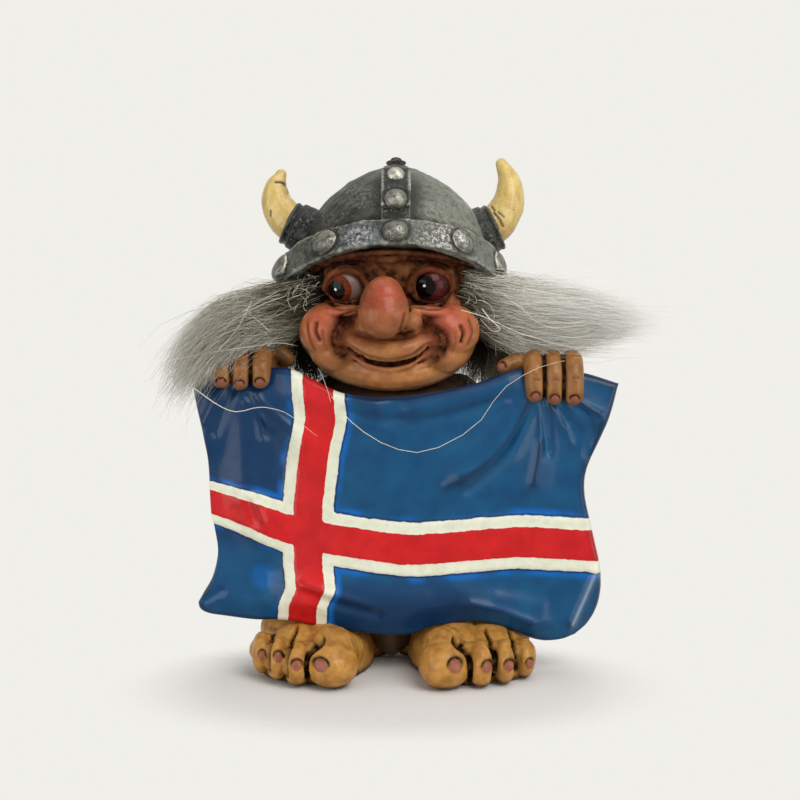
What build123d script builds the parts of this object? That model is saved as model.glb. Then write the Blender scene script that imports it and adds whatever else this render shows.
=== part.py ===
from build123d import *
import os
from math import asin, cos, exp, pi, radians, sin, sqrt

# Troll ornament: painted resin castings glued together, with tufts of fur for hair.
# Millimetres, +Z up, the face looks along -Y, origin on the floor under the middle of the figure.
# Left and right are the figure's own, so its left hand is on the +X side.
SIDES = {"left": 1, "right": -1}

# Share of the way to its corner that makes a drawn quarter an oval
oval_pull = 0.5523

# Fits
glue_gap = 0.3
spigot_clearance = 0.15

# Body
body_axis_y = 8.0
body_radius = 18.5
hip_radius = 15.5
hip_z = 13.0
torso_height = 44.5
torso_belly_height = 14.0
shoulder_radius = 14.0
shoulder_fall = 6.0

# Legs and feet
leg_spacing = 20.0
leg_axis_y = 3.0
leg_radius = 7.4
leg_hem_radius = 8.4
leg_hem_z = 2.0
leg_spigot_radius = 4.0
leg_spigot_length = 5.0
foot_spacing = 25.0
foot_centre_y = -7.0
foot_length = 40.0
foot_width = 18.2
foot_splay = 15.0
toe_rise = 1.0
toe_length = 6.0
toe_tread = 0.8
# Each toe: its place outwards of the foot's middle line, its reach forwards, its radius
toes = {
    "big": (-4.6, 22.4, 5.0),
    "second": (3.2, 21.6, 3.4),
    "third": (8.4, 18.6, 3.1),
    "little": (12.8, 14.2, 2.8),
}

# Head and face, heights measured up from the chin
head_axis_y = 4.0
head_radius = 19.4
neck_gap = 2.0
neck_radius = 8.0
neck_step = 1.0
neck_spigot_length = 6.0
chin_to_cheek = 12.0
chin_to_eye = 21.4
chin_to_brim = 22.5
face_turn = 6.0
eye_hollow = 1.0
eye_spacing = 17.4
eye_setback = 6.4
eye_radius = 4.3
eye_stem_radius = 1.5
eye_stem_length = 6.0
eyelid_radius = 1.1
eyelid_offset = 1.8
nose_radius = 5.0
nose_bridge_radius = 2.8
nose_rise = 15.4
nose_overhang = 2.0
nostril_radius = 2.4
nostril_spacing = 10.4
nostril_rise = 13.0
cheek_radius = 7.0
cheek_spacing = 26.0
cheek_rise = 12.0
cheek_bulge = 1.0
mouth_width = 18.8
mouth_corner_rise = 9.4
mouth_low_rise = 5.2
mouth_bulge = 0.6
mouth_groove_radius = 0.9
lip_radius = 1.4
lip_offset = 1.8
chin_radius = 5.4
chin_rise = 3.8
chin_bulge = 1.0

# Helmet, heights measured up from the plane of its brim
helmet_tilt = 17.0
helmet_height = 23.6
helmet_bulge = 4.7
helmet_wall = 2.0
crown_flat = 1.2
crown_seat = 17.6
brow_step = 0.8
brow_recess = 3.0
band_height = 6.4
band_thickness = 1.5
band_lean = 0.9
band_edge_fillet = 0.5
strap_width = 5.8
strap_thickness = 1.0
stud_count = 10
band_stud_radius = 2.4
band_stud_sink = 0.9
strap_stud_radius = 2.0
strap_stud_rise = (11.8, 19.9)
finial_radius = 1.1
finial_flange_radius = 1.9
finial_flange_height = 0.4

# Horns and their sockets
horn_rise = 30.0
horn_turn = {"left": 100.0, "right": 90.0}
horn_length = {"left": 15.9, "right": 12.2}
horn_base_radius = 3.9
horn_tip_radius = 1.2
horn_sections = 6
horn_tenon_radius = 2.2
horn_tenon_length = 1.8
socket_rise = 9.4
socket_radius = 5.4
socket_lip_radius = 4.8
socket_length = 2.6
socket_step = 1.4
socket_sink = 3.0

# Flag, a cast sheet held up by its top corners; places across and up it as (x, z)
flag_thickness = 2.4
flag_belly = 3.6
flag_belly_half_width = 26.0
flag_fold_depth = 1.3
flag_fold_width = 3.4
# Ridges of the folds, each from a place to a place: below the hands, along the top edge and the hem
flag_folds = (
    ((28.0, 58.0), (14.0, 42.0)),
    ((31.6, 56.0), (28.6, 40.0)),
    ((37.0, 57.5), (42.5, 53.0)),
    ((23.0, 60.5), (4.0, 55.5)),
    ((-21.0, 60.0), (-5.0, 55.5)),
    ((-26.5, 57.5), (-19.5, 49.0)),
    ((-31.5, 57.5), (-31.5, 42.0)),
    ((-36.5, 57.0), (-39.5, 49.0)),
    ((-30.5, 36.5), (-27.5, 29.5)),
    ((-18.5, 17.5), (6.0, 15.5)),
    ((13.0, 16.5), (29.0, 10.5)),
)
flag_grid_step = 2.0
flag_grid_reach = 25
flag_grip_z = 64.0
flag_left_corner = (46.2, 60.4)
flag_left_peak = (24.6, 63.9)
flag_dip = (0.6, 58.4)
flag_right_peak = (-23.0, 64.0)
flag_right_corner = (-42.4, 60.2)
flag_left_waist = (39.6, 38.0)
flag_left_flare = (42.9, 20.8)
flag_left_foot = (37.8, 7.0)
flag_hem = ((29.2, 6.2), (15.5, 11.2), (1.9, 8.4), (-22.2, 10.8))
flag_right_foot = (-41.8, 13.1)
flag_right_waist = (-37.4, 27.0)
cross_relief = 0.4
cross_width = 10.8
cross_post_x = -17.8
cross_post_lean = 4.0
cross_bar_z = 28.4

# Hands and sleeves
hand_spacing = 64.4
finger_count = 3
finger_pitch = 4.15
finger_radius = 1.9
finger_reach = 3.4
finger_press = 0.3
palm_radius = 3.6
palm_half_width = 3.2
palm_drop = 3.0
thumb_length = 9.5
thumb_radius = 1.8
thumb_lift = -0.4
wrist_radius = 2.8
wrist_length = 5.0
wrist_gap = 8.0
sleeve_cuff_radius = 4.6
sleeve_shoulder_radius = 6.0
shoulder_spacing = 27.0
shoulder_drop = 8.0

# Hair, heights measured up from the chin
hair_flatness = 0.85
hair_root_inset = 4.0
hair_root_y = 0.0
hair_root_rise = 15.4
hair_root_radius = 7.4
hair_middle_length = 14.6
hair_middle_y = -8.0
hair_middle_rise = {"left": 18.2, "right": 16.8}
hair_middle_radius = 5.6
hair_length = 32.1
hair_tip_y = -14.0
hair_tip_rise = {"left": 15.6, "right": 6.4}
hair_tip_radius = 3.0
back_hair_sweep = 150.0
back_hair_thickness = 5.8
back_hair_belly = 12.0
back_hair_drop = 25.0

# Places that follow from the sizes above
torso_top_z = hip_z + torso_height
chin_z = torso_top_z + neck_gap
eye_z = chin_z + chin_to_eye
brim_z = chin_z + chin_to_brim
dome_radius = head_radius + brow_step
cavity_radius = dome_radius + glue_gap
bowl_radius = cavity_radius + helmet_wall
band_radius = bowl_radius + band_thickness
flag_middle_y = body_axis_y - body_radius - glue_gap - flag_thickness / 2
tilt = radians(helmet_tilt)
helmet_plane = Plane((0, head_axis_y, brim_z), (1, 0, 0), (0, sin(tilt), cos(tilt)))
turn = radians(face_turn)
# On the face, local x runs across it, local y out of it and local z up from the chin
face_plane = Plane((0, head_axis_y, chin_z), (-cos(turn), sin(turn), 0), (0, 0, 1))
pieces = {}


def within(base, local):
    """A plane given in the axes of another plane."""
    return Plane(base.location * local.location)


def upright(place):
    """A plane that stands at a place: local x is across, local y is up."""
    return Plane(place, (1, 0, 0), (0, -1, 0))


def quarter_oval(start, corner, end):
    """A quarter of an oval from a start to an end, drawn towards the corner between them."""
    start, corner, end = Vector(start), Vector(corner), Vector(end)
    first = start + (corner - start) * oval_pull
    last = end + (corner - end) * oval_pull
    return Bezier(start, first, last, end)


def on_face(across, out, rise):
    """A point from its place in the turned face's axes."""
    return face_plane.from_local_coords(Vector(across, out, rise))


def face_seat(across, out, rise):
    """A plane at a place on the face whose local x looks out of it."""
    return Plane(on_face(across, out, rise), face_plane.y_dir, (0, 0, 1))


def head_reach(rise):
    """Radius of the plain head at a height above the chin."""
    below = max(0.0, 1 - rise / chin_to_cheek)
    return head_radius * sqrt(1 - below**2)


def surface_out(across, rise):
    """How far out of the head's axis the plain face lies at a place on it."""
    return sqrt(head_reach(rise) ** 2 - across**2)


def mouth_arc(lift):
    """Three points of a smile on the face, moved up or down it."""
    half_width = mouth_width / 2
    corner_rise, low_rise = mouth_corner_rise + lift, mouth_low_rise + lift
    corner_out = surface_out(half_width, corner_rise)
    return (
        on_face(-half_width, corner_out, corner_rise),
        on_face(0, head_reach(low_rise) + mouth_bulge, low_rise),
        on_face(half_width, corner_out, corner_rise),
    )


def flag_depth(x, z):
    """Middle of the flag's thickness: a belly, and round-backed folds that stand out of it."""
    depth = flag_middle_y - flag_belly * exp(-((x / flag_belly_half_width) ** 2))
    for start, end in flag_folds:
        run = Vector(*end) - Vector(*start)
        away = Vector(x, z) - Vector(*start)
        share = min(1.0, max(0.0, away.dot(run) / run.dot(run)))
        ridge = (away - run * share).length / flag_fold_width
        depth -= flag_fold_depth * exp(-(ridge**2))
    return depth


def flag_sheet():
    """The flag's middle surface, larger all round than its outline."""
    columns = [i * flag_grid_step for i in range(-flag_grid_reach, flag_grid_reach + 1)]
    rows = [j * flag_grid_step for j in range(int(flag_grip_z / flag_grid_step) + 3)]
    points = [[Vector(x, flag_depth(x, z), z) for z in rows] for x in columns]
    return Face.make_surface_from_array_of_points(points)


def ball_ended_rod(start, end, radius):
    """A straight round rod with a ball at its far end."""
    start, end = Vector(*start), Vector(*end)
    with BuildPart() as rod:
        with BuildSketch(Plane(origin=start, z_dir=end - start)):
            Circle(radius)
        extrude(amount=(end - start).length)
        with Locations(end):
            Sphere(radius)
    return rod.part


def ogive(radius, height):
    """A solid of the helmet's bowl form, standing on the plane of the brim."""
    with BuildPart() as form:
        with BuildSketch(within(helmet_plane, Plane.XZ)):
            with BuildLine():
                SagittaArc((radius, 0), (crown_flat, height), -helmet_bulge)
                Polyline((crown_flat, height), (0, height), (0, 0), (radius, 0))
            make_face()
        revolve(axis=Axis(helmet_plane.origin, helmet_plane.z_dir))
    return form.part


def crown(radius, height, floor):
    """The bowl form between a floor and the flat seat at the crown."""
    with BuildPart() as form:
        add(ogive(radius, height))
        split(bisect_by=helmet_plane.offset(crown_seat), keep=Keep.BOTTOM)
        if floor > 0:
            split(bisect_by=helmet_plane.offset(floor), keep=Keep.TOP)
    return form.part


def bowl_reach(rise):
    """Radius of the bowl's outside at a height above the plane of the brim."""
    run = bowl_radius - crown_flat
    chord = sqrt(run**2 + helmet_height**2)
    arc = chord**2 / (8 * helmet_bulge) + helmet_bulge / 2
    inset = arc - helmet_bulge
    centre_r = (bowl_radius + crown_flat) / 2 - inset * helmet_height / chord
    centre_z = helmet_height / 2 - inset * run / chord
    return centre_r + sqrt(arc**2 - (rise - centre_z) ** 2)


def hand_fingers(sign):
    """The places across the flag of one hand's fingers."""
    middle = (finger_count - 1) / 2
    return [sign * hand_spacing / 2 + (i - middle) * finger_pitch for i in range(finger_count)]


def finger_hook(x):
    """A finger bent over the flag's top edge, from the palm behind to its tip in front."""
    bend = flag_thickness / 2 - finger_press + finger_radius
    across_flag = Plane((x, flag_depth(x, flag_grip_z), flag_grip_z), (0, 1, 0), (1, 0, 0))
    with BuildPart() as finger:
        with BuildLine(across_flag) as hook:
            Line((bend, -palm_drop), (bend, 0))
            ThreePointArc((bend, 0), (0, bend), (-bend, 0))
            Line((-bend, 0), (-bend, -finger_reach))
        with BuildSketch(Plane(origin=hook.line @ 0, z_dir=hook.line % 0)):
            Circle(finger_radius)
        sweep()
        with Locations(hook.line @ 1):
            Sphere(finger_radius)
    return finger.part


def palm_place(sign):
    """Middle of a palm, behind the flag."""
    x = sign * hand_spacing / 2
    y = flag_depth(x, flag_grip_z) + flag_thickness / 2 + glue_gap + palm_radius
    return Vector(x, y, flag_grip_z - palm_drop)


def shoulder_place(sign):
    """Middle of a shoulder, inside the torso's outline."""
    return Vector(sign * shoulder_spacing / 2, body_axis_y, torso_top_z - shoulder_drop)


def sleeve_heading(sign):
    """Direction of a sleeve, from the shoulder to the palm."""
    return (palm_place(sign) - shoulder_place(sign)).normalized()


# Feet: half a long round form on a flat sole, with four toes
for side, sign in SIDES.items():
    splay = radians(foot_splay)
    forward = Vector(sign * sin(splay), -cos(splay), 0)
    outward = Vector(sign * cos(splay), sin(splay), 0)
    middle = Vector(sign * foot_spacing / 2, foot_centre_y, 0)
    with BuildPart() as foot:
        with BuildSketch(Plane(origin=middle, x_dir=outward, z_dir=(0, 0, 1))):
            with BuildLine():
                half_length, half_width = foot_length / 2, foot_width / 2
                quarter_oval((0, -half_length), (half_width, -half_length), (half_width, 0))
                quarter_oval((half_width, 0), (half_width, half_length), (0, half_length))
                Line((0, half_length), (0, -half_length))
            make_face()
        revolve(axis=Axis(middle, forward * sign), revolution_arc=180)
        for lateral, reach, radius in toes.values():
            tip = middle + outward * lateral + forward * (reach - radius) + Vector(0, 0, radius - toe_tread)
            root = (middle - tip).normalized()
            knuckle = tip + Vector(root.X, root.Y, 0) * toe_length + Vector(0, 0, toe_rise)
            add(ball_ended_rod(knuckle, tip, radius))
        split(bisect_by=Plane.XY, keep=Keep.TOP)
    pieces[f"{side}_foot"] = foot.part

# Legs: short trouser legs that stand on the feet and plug into the torso
for side, sign in SIDES.items():
    leg_base = Vector(sign * leg_spacing / 2, leg_axis_y, 0)
    spigot_top = hip_z + leg_spigot_length
    with BuildPart() as leg:
        with BuildSketch(upright(leg_base)):
            with BuildLine():
                Polyline(
                    (0, leg_hem_z),
                    (leg_hem_radius, leg_hem_z),
                    (leg_radius, hip_z),
                    (leg_spigot_radius, hip_z),
                    (leg_spigot_radius, spigot_top),
                    (0, spigot_top),
                    close=True,
                )
            make_face()
        revolve(axis=Axis(leg_base, (0, 0, 1)))
        add(pieces[f"{side}_foot"], mode=Mode.SUBTRACT)
    pieces[f"{side}_leg"] = leg.part

# Torso: a round belly with sockets for the legs and the neck
with BuildPart() as torso:
    with BuildSketch(upright((0, body_axis_y, hip_z))):
        with BuildLine():
            Line((0, 0), (hip_radius, 0))
            Spline(
                (hip_radius, 0),
                (body_radius, torso_belly_height),
                (shoulder_radius, torso_height - shoulder_fall),
                (neck_radius, torso_height),
            )
            Polyline((neck_radius, torso_height), (0, torso_height), (0, 0))
        make_face()
    revolve(axis=Axis((0, body_axis_y, 0), (0, 0, 1)))
    with BuildSketch(Plane((0, head_axis_y, torso_top_z - neck_spigot_length))):
        Circle(neck_radius - neck_step + spigot_clearance)
    extrude(amount=neck_spigot_length, mode=Mode.SUBTRACT)
    for sign in SIDES.values():
        with BuildSketch(Plane((sign * leg_spacing / 2, leg_axis_y, hip_z))):
            Circle(leg_spigot_radius + spigot_clearance)
        extrude(amount=leg_spigot_length + glue_gap, mode=Mode.SUBTRACT)
pieces["torso"] = torso.part

# Eyes: balls on short stems that seat in the head
eye_places = {}
for side, sign in SIDES.items():
    centre = on_face(-sign * eye_spacing / 2, head_radius - eye_setback, chin_to_eye)
    gaze = (centre - Vector(0, head_axis_y, eye_z)).normalized()
    eye_places[side] = Plane(origin=centre, z_dir=gaze)
    with BuildPart() as eye:
        with BuildSketch(eye_places[side].offset(-eye_stem_length)):
            Circle(eye_stem_radius)
        extrude(amount=eye_stem_length)
        with Locations(centre):
            Sphere(eye_radius)
    pieces[f"{side}_eye"] = eye.part

# Head: a round face with a big nose, cheeks and smile, and a crown that fills the helmet
with BuildPart() as head:
    head_axis = Axis((0, head_axis_y, 0), (0, 0, 1))
    blank_top = 2 * chin_to_eye - chin_to_cheek
    with BuildSketch(upright((0, head_axis_y, chin_z))):
        with BuildLine():
            quarter_oval((0, 0), (head_radius, 0), (head_radius, chin_to_cheek))
            ThreePointArc(
                (head_radius, chin_to_cheek),
                (head_radius - eye_hollow, chin_to_eye),
                (head_radius, blank_top),
            )
            Polyline((head_radius, blank_top), (0, blank_top), (0, 0))
        make_face()
    revolve(axis=head_axis)
    split(bisect_by=helmet_plane, keep=Keep.BOTTOM)
    with BuildSketch(helmet_plane.offset(-brow_recess)):
        Circle(dome_radius - brow_recess)
    extrude(amount=3 * brow_recess)
    add(crown(dome_radius, helmet_height - helmet_wall - glue_gap, brow_recess))
    nose_seat = face_seat(0, surface_out(0, nose_rise) + nose_overhang, nose_rise)
    nose_tip = nose_seat.origin
    nose_bridge = on_face(0, surface_out(0, chin_to_eye) - nose_bridge_radius / 2, chin_to_eye)
    with BuildSketch(Plane(origin=nose_tip, z_dir=nose_bridge - nose_tip)):
        Circle(nose_radius)
    with BuildSketch(Plane(origin=nose_bridge, z_dir=nose_bridge - nose_tip)):
        Circle(nose_bridge_radius)
    loft()
    with Locations(nose_seat):
        Sphere(nose_radius)
    for sign in SIDES.values():
        nostril_out = surface_out(nostril_spacing / 2, nostril_rise)
        with Locations(face_seat(sign * nostril_spacing / 2, nostril_out, nostril_rise)):
            Sphere(nostril_radius)
        cheek_angle = asin(cheek_spacing / 2 / head_radius)
        cheek_out = head_radius - cheek_radius + cheek_bulge
        cheek_across = sign * cheek_out * sin(cheek_angle)
        with Locations(face_seat(cheek_across, cheek_out * cos(cheek_angle), cheek_rise)):
            Sphere(cheek_radius)
    with Locations(face_seat(0, head_reach(chin_rise) - chin_radius + chin_bulge, chin_rise)):
        Sphere(chin_radius)
    for lip_rise in (lip_offset, -lip_offset):
        with BuildLine() as lip:
            ThreePointArc(*mouth_arc(lip_rise))
        with BuildSketch(Plane(origin=lip.line @ 0, z_dir=lip.line % 0)):
            Circle(lip_radius)
        sweep()
    with BuildLine() as mouth:
        ThreePointArc(*mouth_arc(0))
    with BuildSketch(Plane(origin=mouth.line @ 0, z_dir=mouth.line % 0)):
        Circle(mouth_groove_radius)
    sweep(mode=Mode.SUBTRACT)
    with BuildSketch(Plane((0, head_axis_y, torso_top_z - neck_spigot_length))):
        Circle(neck_radius - neck_step)
    extrude(amount=neck_spigot_length + neck_gap + chin_radius)
    for place in eye_places.values():
        with Locations(place.offset(eyelid_offset)):
            Torus(sqrt(eye_radius**2 - eyelid_offset**2) + glue_gap, eyelid_radius)
    for place in eye_places.values():
        with Locations(place):
            Sphere(eye_radius + glue_gap, mode=Mode.SUBTRACT)
        with BuildSketch(place.offset(-eye_stem_length)):
            Circle(eye_stem_radius + spigot_clearance)
        extrude(amount=eye_stem_length, mode=Mode.SUBTRACT)
pieces["head"] = head.part

# Helmet bowl
bowl_form = ogive(bowl_radius, helmet_height)
with BuildPart() as bowl:
    add(bowl_form)
    add(crown(cavity_radius, helmet_height - helmet_wall, 0), mode=Mode.SUBTRACT)
pieces["helmet_bowl"] = bowl.part

# Helmet band around the bowl
helmet_axis = Axis(helmet_plane.origin, helmet_plane.z_dir)
with BuildPart() as band_form:
    with BuildSketch(within(helmet_plane, Plane.XZ)):
        with BuildLine():
            Polyline(
                (0, 0),
                (band_radius, 0),
                (band_radius - band_lean, band_height),
                (0, band_height),
                close=True,
            )
        make_face()
    revolve(axis=helmet_axis)
    fillet(band_form.edges().filter_by(GeomType.CIRCLE), band_edge_fillet)
with BuildPart() as band:
    add(band_form.part)
    add(bowl_form, mode=Mode.SUBTRACT)
pieces["helmet_band"] = band.part

# Helmet strap over the crown, from the band in front to the band behind
strap_form = ogive(bowl_radius + strap_thickness, helmet_height + strap_thickness)
with BuildPart() as strap:
    add(strap_form)
    with BuildSketch(helmet_plane.offset(band_height)):
        Rectangle(strap_width, 2 * band_radius)
    extrude(amount=helmet_height, mode=Mode.INTERSECT)
    add(bowl_form, mode=Mode.SUBTRACT)
pieces["helmet_strap"] = strap.part

# Round-headed studs on the band
stud_ring = band_radius - band_lean / 2 - band_stud_sink
with BuildPart() as band_studs:
    for stud in range(stud_count):
        angle = 2 * pi * stud / stud_count - pi / 2
        outward = helmet_plane.x_dir * cos(angle) + helmet_plane.y_dir * sin(angle)
        place = helmet_plane.offset(band_height / 2).origin + outward * stud_ring
        with Locations(Plane(place, outward, helmet_plane.z_dir)):
            Sphere(band_stud_radius)
    add(band_form.part, mode=Mode.SUBTRACT)
    add(bowl_form, mode=Mode.SUBTRACT)
pieces["band_studs"] = band_studs.part

# Round-headed studs on the strap, in front and behind
with BuildPart() as strap_studs:
    for rise in strap_stud_rise:
        reach = bowl_reach(rise) + strap_thickness
        for facing in SIDES.values():
            with Locations(helmet_plane.from_local_coords(Vector(0, facing * reach, rise))):
                Sphere(strap_stud_radius)
    add(strap_form, mode=Mode.SUBTRACT)
pieces["strap_studs"] = strap_studs.part

# Finial on the crown
finial_base = helmet_plane.offset(helmet_height)
with BuildPart() as finial:
    with BuildSketch(finial_base):
        Circle(finial_flange_radius)
    extrude(amount=strap_thickness + finial_flange_height)
    with Locations(finial_base.offset(strap_thickness + finial_flange_height + finial_radius / 2)):
        Sphere(finial_radius)
    add(strap_form, mode=Mode.SUBTRACT)
pieces["helmet_finial"] = finial.part

# Horns, each in a stepped socket on the side of the bowl
for side, sign in SIDES.items():
    rise = radians(horn_rise)
    foot_point = helmet_plane.from_local_coords(Vector(sign * bowl_reach(socket_rise), 0, socket_rise))
    across, up = helmet_plane.x_dir * sign, helmet_plane.z_dir
    outward = across * cos(rise) + up * sin(rise)
    socket_plane = Plane(origin=foot_point, x_dir=helmet_plane.y_dir, z_dir=outward)
    with BuildPart() as socket:
        with BuildSketch(socket_plane.offset(-socket_sink)):
            Circle(socket_radius)
        extrude(amount=socket_sink + socket_step)
        with BuildSketch(socket_plane):
            Circle(socket_lip_radius)
        extrude(amount=socket_length)
        with BuildSketch(socket_plane.offset(socket_length - horn_tenon_length - glue_gap)):
            Circle(horn_tenon_radius + spigot_clearance)
        extrude(amount=horn_tenon_length + glue_gap, mode=Mode.SUBTRACT)
        add(bowl_form, mode=Mode.SUBTRACT)
        split(bisect_by=helmet_plane.offset(band_height), keep=Keep.TOP)
    pieces[f"{side}_horn_socket"] = socket.part

    base = foot_point + outward * socket_length
    bend_radius = horn_length[side] / radians(horn_turn[side])
    inward = up * cos(rise) - across * sin(rise)
    bend_centre = base + inward * bend_radius
    with BuildPart() as horn:
        for step in range(horn_sections):
            share = step / (horn_sections - 1)
            angle = radians(horn_turn[side]) * share
            place = bend_centre - inward * bend_radius * cos(angle) + outward * bend_radius * sin(angle)
            heading = outward * cos(angle) + inward * sin(angle)
            radius = horn_base_radius + (horn_tip_radius - horn_base_radius) * share
            with BuildSketch(Plane(origin=place, x_dir=helmet_plane.y_dir, z_dir=heading)):
                Circle(radius)
        loft()
        with Locations(place):
            Sphere(horn_tip_radius)
        with BuildSketch(Plane(origin=base, z_dir=-outward)):
            Circle(horn_tenon_radius)
        extrude(amount=horn_tenon_length)
    pieces[f"{side}_horn"] = horn.part

# Hands: three fingers bent over the flag's top edge, a palm and a thumb behind it
for side, sign in SIDES.items():
    palm = palm_place(sign)
    heading = sleeve_heading(sign)
    with BuildPart() as hand:
        for x in hand_fingers(sign):
            add(finger_hook(x))
        palm_end = Vector(sign * palm_half_width, 0, 0)
        add(ball_ended_rod(palm - palm_end, palm + palm_end, palm_radius))
        with Locations(palm - palm_end):
            Sphere(palm_radius)
        thumb_x = sign * (hand_spacing / 2 - thumb_length)
        thumb_y = flag_depth(thumb_x, flag_grip_z) + flag_thickness / 2 + thumb_radius
        thumb_tip = Vector(thumb_x, thumb_y, flag_grip_z + thumb_lift)
        add(ball_ended_rod(palm - palm_end, thumb_tip, thumb_radius))
        with BuildSketch(Plane(origin=palm - heading * (wrist_gap + wrist_length), z_dir=heading)):
            Circle(wrist_radius)
        extrude(amount=wrist_gap + wrist_length)
    pieces[f"{side}_hand"] = hand.part

# Arms: sleeves from the shoulders to the wrists, each with a bore for its wrist
for side, sign in SIDES.items():
    palm = palm_place(sign)
    heading = sleeve_heading(sign)
    with BuildPart() as arm:
        with BuildSketch(Plane(origin=shoulder_place(sign), z_dir=heading)):
            Circle(sleeve_shoulder_radius)
        with BuildSketch(Plane(origin=palm - heading * wrist_gap, z_dir=heading)):
            Circle(sleeve_cuff_radius)
        loft()
        with Locations(shoulder_place(sign)):
            Sphere(sleeve_shoulder_radius)
        with BuildSketch(Plane(origin=palm - heading * wrist_gap, z_dir=-heading)):
            Circle(wrist_radius + spigot_clearance)
        extrude(amount=wrist_length, mode=Mode.SUBTRACT)
        add(pieces["torso"], mode=Mode.SUBTRACT)
    pieces[f"{side}_arm"] = arm.part

# Flag: a bellied sheet with folds below the grips and a raised cross, cut to its outline
flag_face = flag_sheet()
flag_span = 2 * (flag_left_corner[0] - flag_right_corner[0])
with BuildPart() as cross:
    extrude(flag_face, amount=flag_thickness / 2 + cross_relief, dir=(0, -1, 0))
    with BuildSketch(Plane.XZ):
        with Locations((cross_post_x, cross_bar_z)):
            Rectangle(cross_width, flag_span, rotation=-cross_post_lean)
            Rectangle(flag_span, cross_width)
    extrude(amount=flag_span, mode=Mode.INTERSECT)
with BuildPart() as flag:
    extrude(flag_face, amount=flag_thickness / 2, dir=(0, 1, 0), both=True)
    add(cross.part)
    with BuildSketch(Plane.XZ):
        with BuildLine():
            Spline(flag_right_corner, flag_right_peak, flag_dip, flag_left_peak, flag_left_corner)
            Spline(flag_left_corner, flag_left_waist, flag_left_flare, flag_left_foot)
            Spline(flag_left_foot, *flag_hem, flag_right_foot)
            Spline(flag_right_foot, flag_right_waist, flag_right_corner)
        make_face()
    extrude(amount=flag_span, mode=Mode.INTERSECT)
    for side in SIDES:
        add(pieces[f"{side}_hand"], mode=Mode.SUBTRACT)
pieces["flag"] = flag.part

# Hair at the sides: tapered tufts of fur that come out from under the helmet
for side, sign in SIDES.items():
    sections = (
        (head_radius - hair_root_inset, hair_root_y, hair_root_rise, hair_root_radius),
        (head_radius + hair_middle_length, hair_middle_y, hair_middle_rise[side], hair_middle_radius),
        (head_radius + hair_length, hair_tip_y, hair_tip_rise[side], hair_tip_radius),
    )
    with BuildPart() as hair:
        for reach, y, rise, radius in sections:
            with BuildSketch(Plane((sign * reach, y, chin_z + rise), (0, 1, 0), (1, 0, 0))):
                Ellipse(hair_flatness * radius, radius)
        loft()
        split(bisect_by=helmet_plane.offset(-glue_gap), keep=Keep.BOTTOM)
        add(pieces["head"], mode=Mode.SUBTRACT)
    pieces[f"{side}_hair"] = hair.part

# Hair at the back: a curtain of fur below the helmet's rim
curtain_start = radians(90 - back_hair_sweep / 2)
with BuildPart() as back_hair:
    start_dir = Vector(cos(curtain_start), sin(curtain_start), 0)
    start_normal = start_dir.cross(Vector(0, 0, 1))
    belly_reach = dome_radius + back_hair_thickness
    with BuildSketch(Plane((0, head_axis_y, brim_z), start_dir, start_normal)):
        with BuildLine():
            Line((0, 0), (dome_radius, 0))
            Spline((dome_radius, 0), (belly_reach, -back_hair_belly), (neck_radius, -back_hair_drop))
            Polyline((neck_radius, -back_hair_drop), (0, -back_hair_drop), (0, 0))
        make_face()
    revolve(axis=Axis((0, head_axis_y, 0), (0, 0, 1)), revolution_arc=back_hair_sweep)
    split(bisect_by=helmet_plane.offset(-glue_gap), keep=Keep.BOTTOM)
    for name in ("head", "torso", "left_arm", "right_arm", "left_hair", "right_hair"):
        add(pieces[name], mode=Mode.SUBTRACT)
pieces["back_hair"] = back_hair.part

if __name__ == "__main__":
    os.makedirs("parts", exist_ok=True)
    for name, part in pieces.items():
        part.label = name
        export_step(part, f"parts/{name}.step")
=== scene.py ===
import math

import bpy
import numpy as np
from mathutils import Matrix, Vector
from mathutils.kdtree import KDTree


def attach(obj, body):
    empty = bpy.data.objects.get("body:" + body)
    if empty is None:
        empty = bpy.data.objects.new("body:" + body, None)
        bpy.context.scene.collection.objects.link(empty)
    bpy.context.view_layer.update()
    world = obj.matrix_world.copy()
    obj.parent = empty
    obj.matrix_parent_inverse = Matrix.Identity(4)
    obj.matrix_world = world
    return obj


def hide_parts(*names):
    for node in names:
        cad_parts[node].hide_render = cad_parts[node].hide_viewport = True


bl_info = {
    "name": "Troll Ornament",
    "version": (1, 0, 0),
    "blender": (4, 5, 0),
    "location": "View3D > Sidebar > Troll",
    "description": "Models and paints a cast troll ornament around its CAD frame",
    "category": "Object",
}

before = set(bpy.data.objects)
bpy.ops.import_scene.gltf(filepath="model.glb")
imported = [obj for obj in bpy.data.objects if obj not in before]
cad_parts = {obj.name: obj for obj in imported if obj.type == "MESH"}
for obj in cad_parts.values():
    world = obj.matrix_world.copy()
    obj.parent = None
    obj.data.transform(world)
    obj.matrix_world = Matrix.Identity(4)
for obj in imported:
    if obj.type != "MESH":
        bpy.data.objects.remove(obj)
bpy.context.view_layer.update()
MM = 0.001
# A full turn in radians, near enough for the phase of a wave
FULL_TURN = 6.28


# Selection and settling

def lone(obj):
    """Makes obj the only selected object and the active one."""
    bpy.ops.object.select_all(action="DESELECT")
    obj.select_set(True)
    bpy.context.view_layer.objects.active = obj
    return obj


def settings():
    """The add-on's settings on this scene."""
    return bpy.context.scene.troll


def in_mm(name):
    """A length among the settings, in the millimetres that the pieces are modelled in."""
    return getattr(settings(), name) / MM


def bake_transform():
    """Applies the selected object's place, turn and scale to its mesh."""
    bpy.ops.object.transform_apply(location=True, rotation=True, scale=True)


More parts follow.
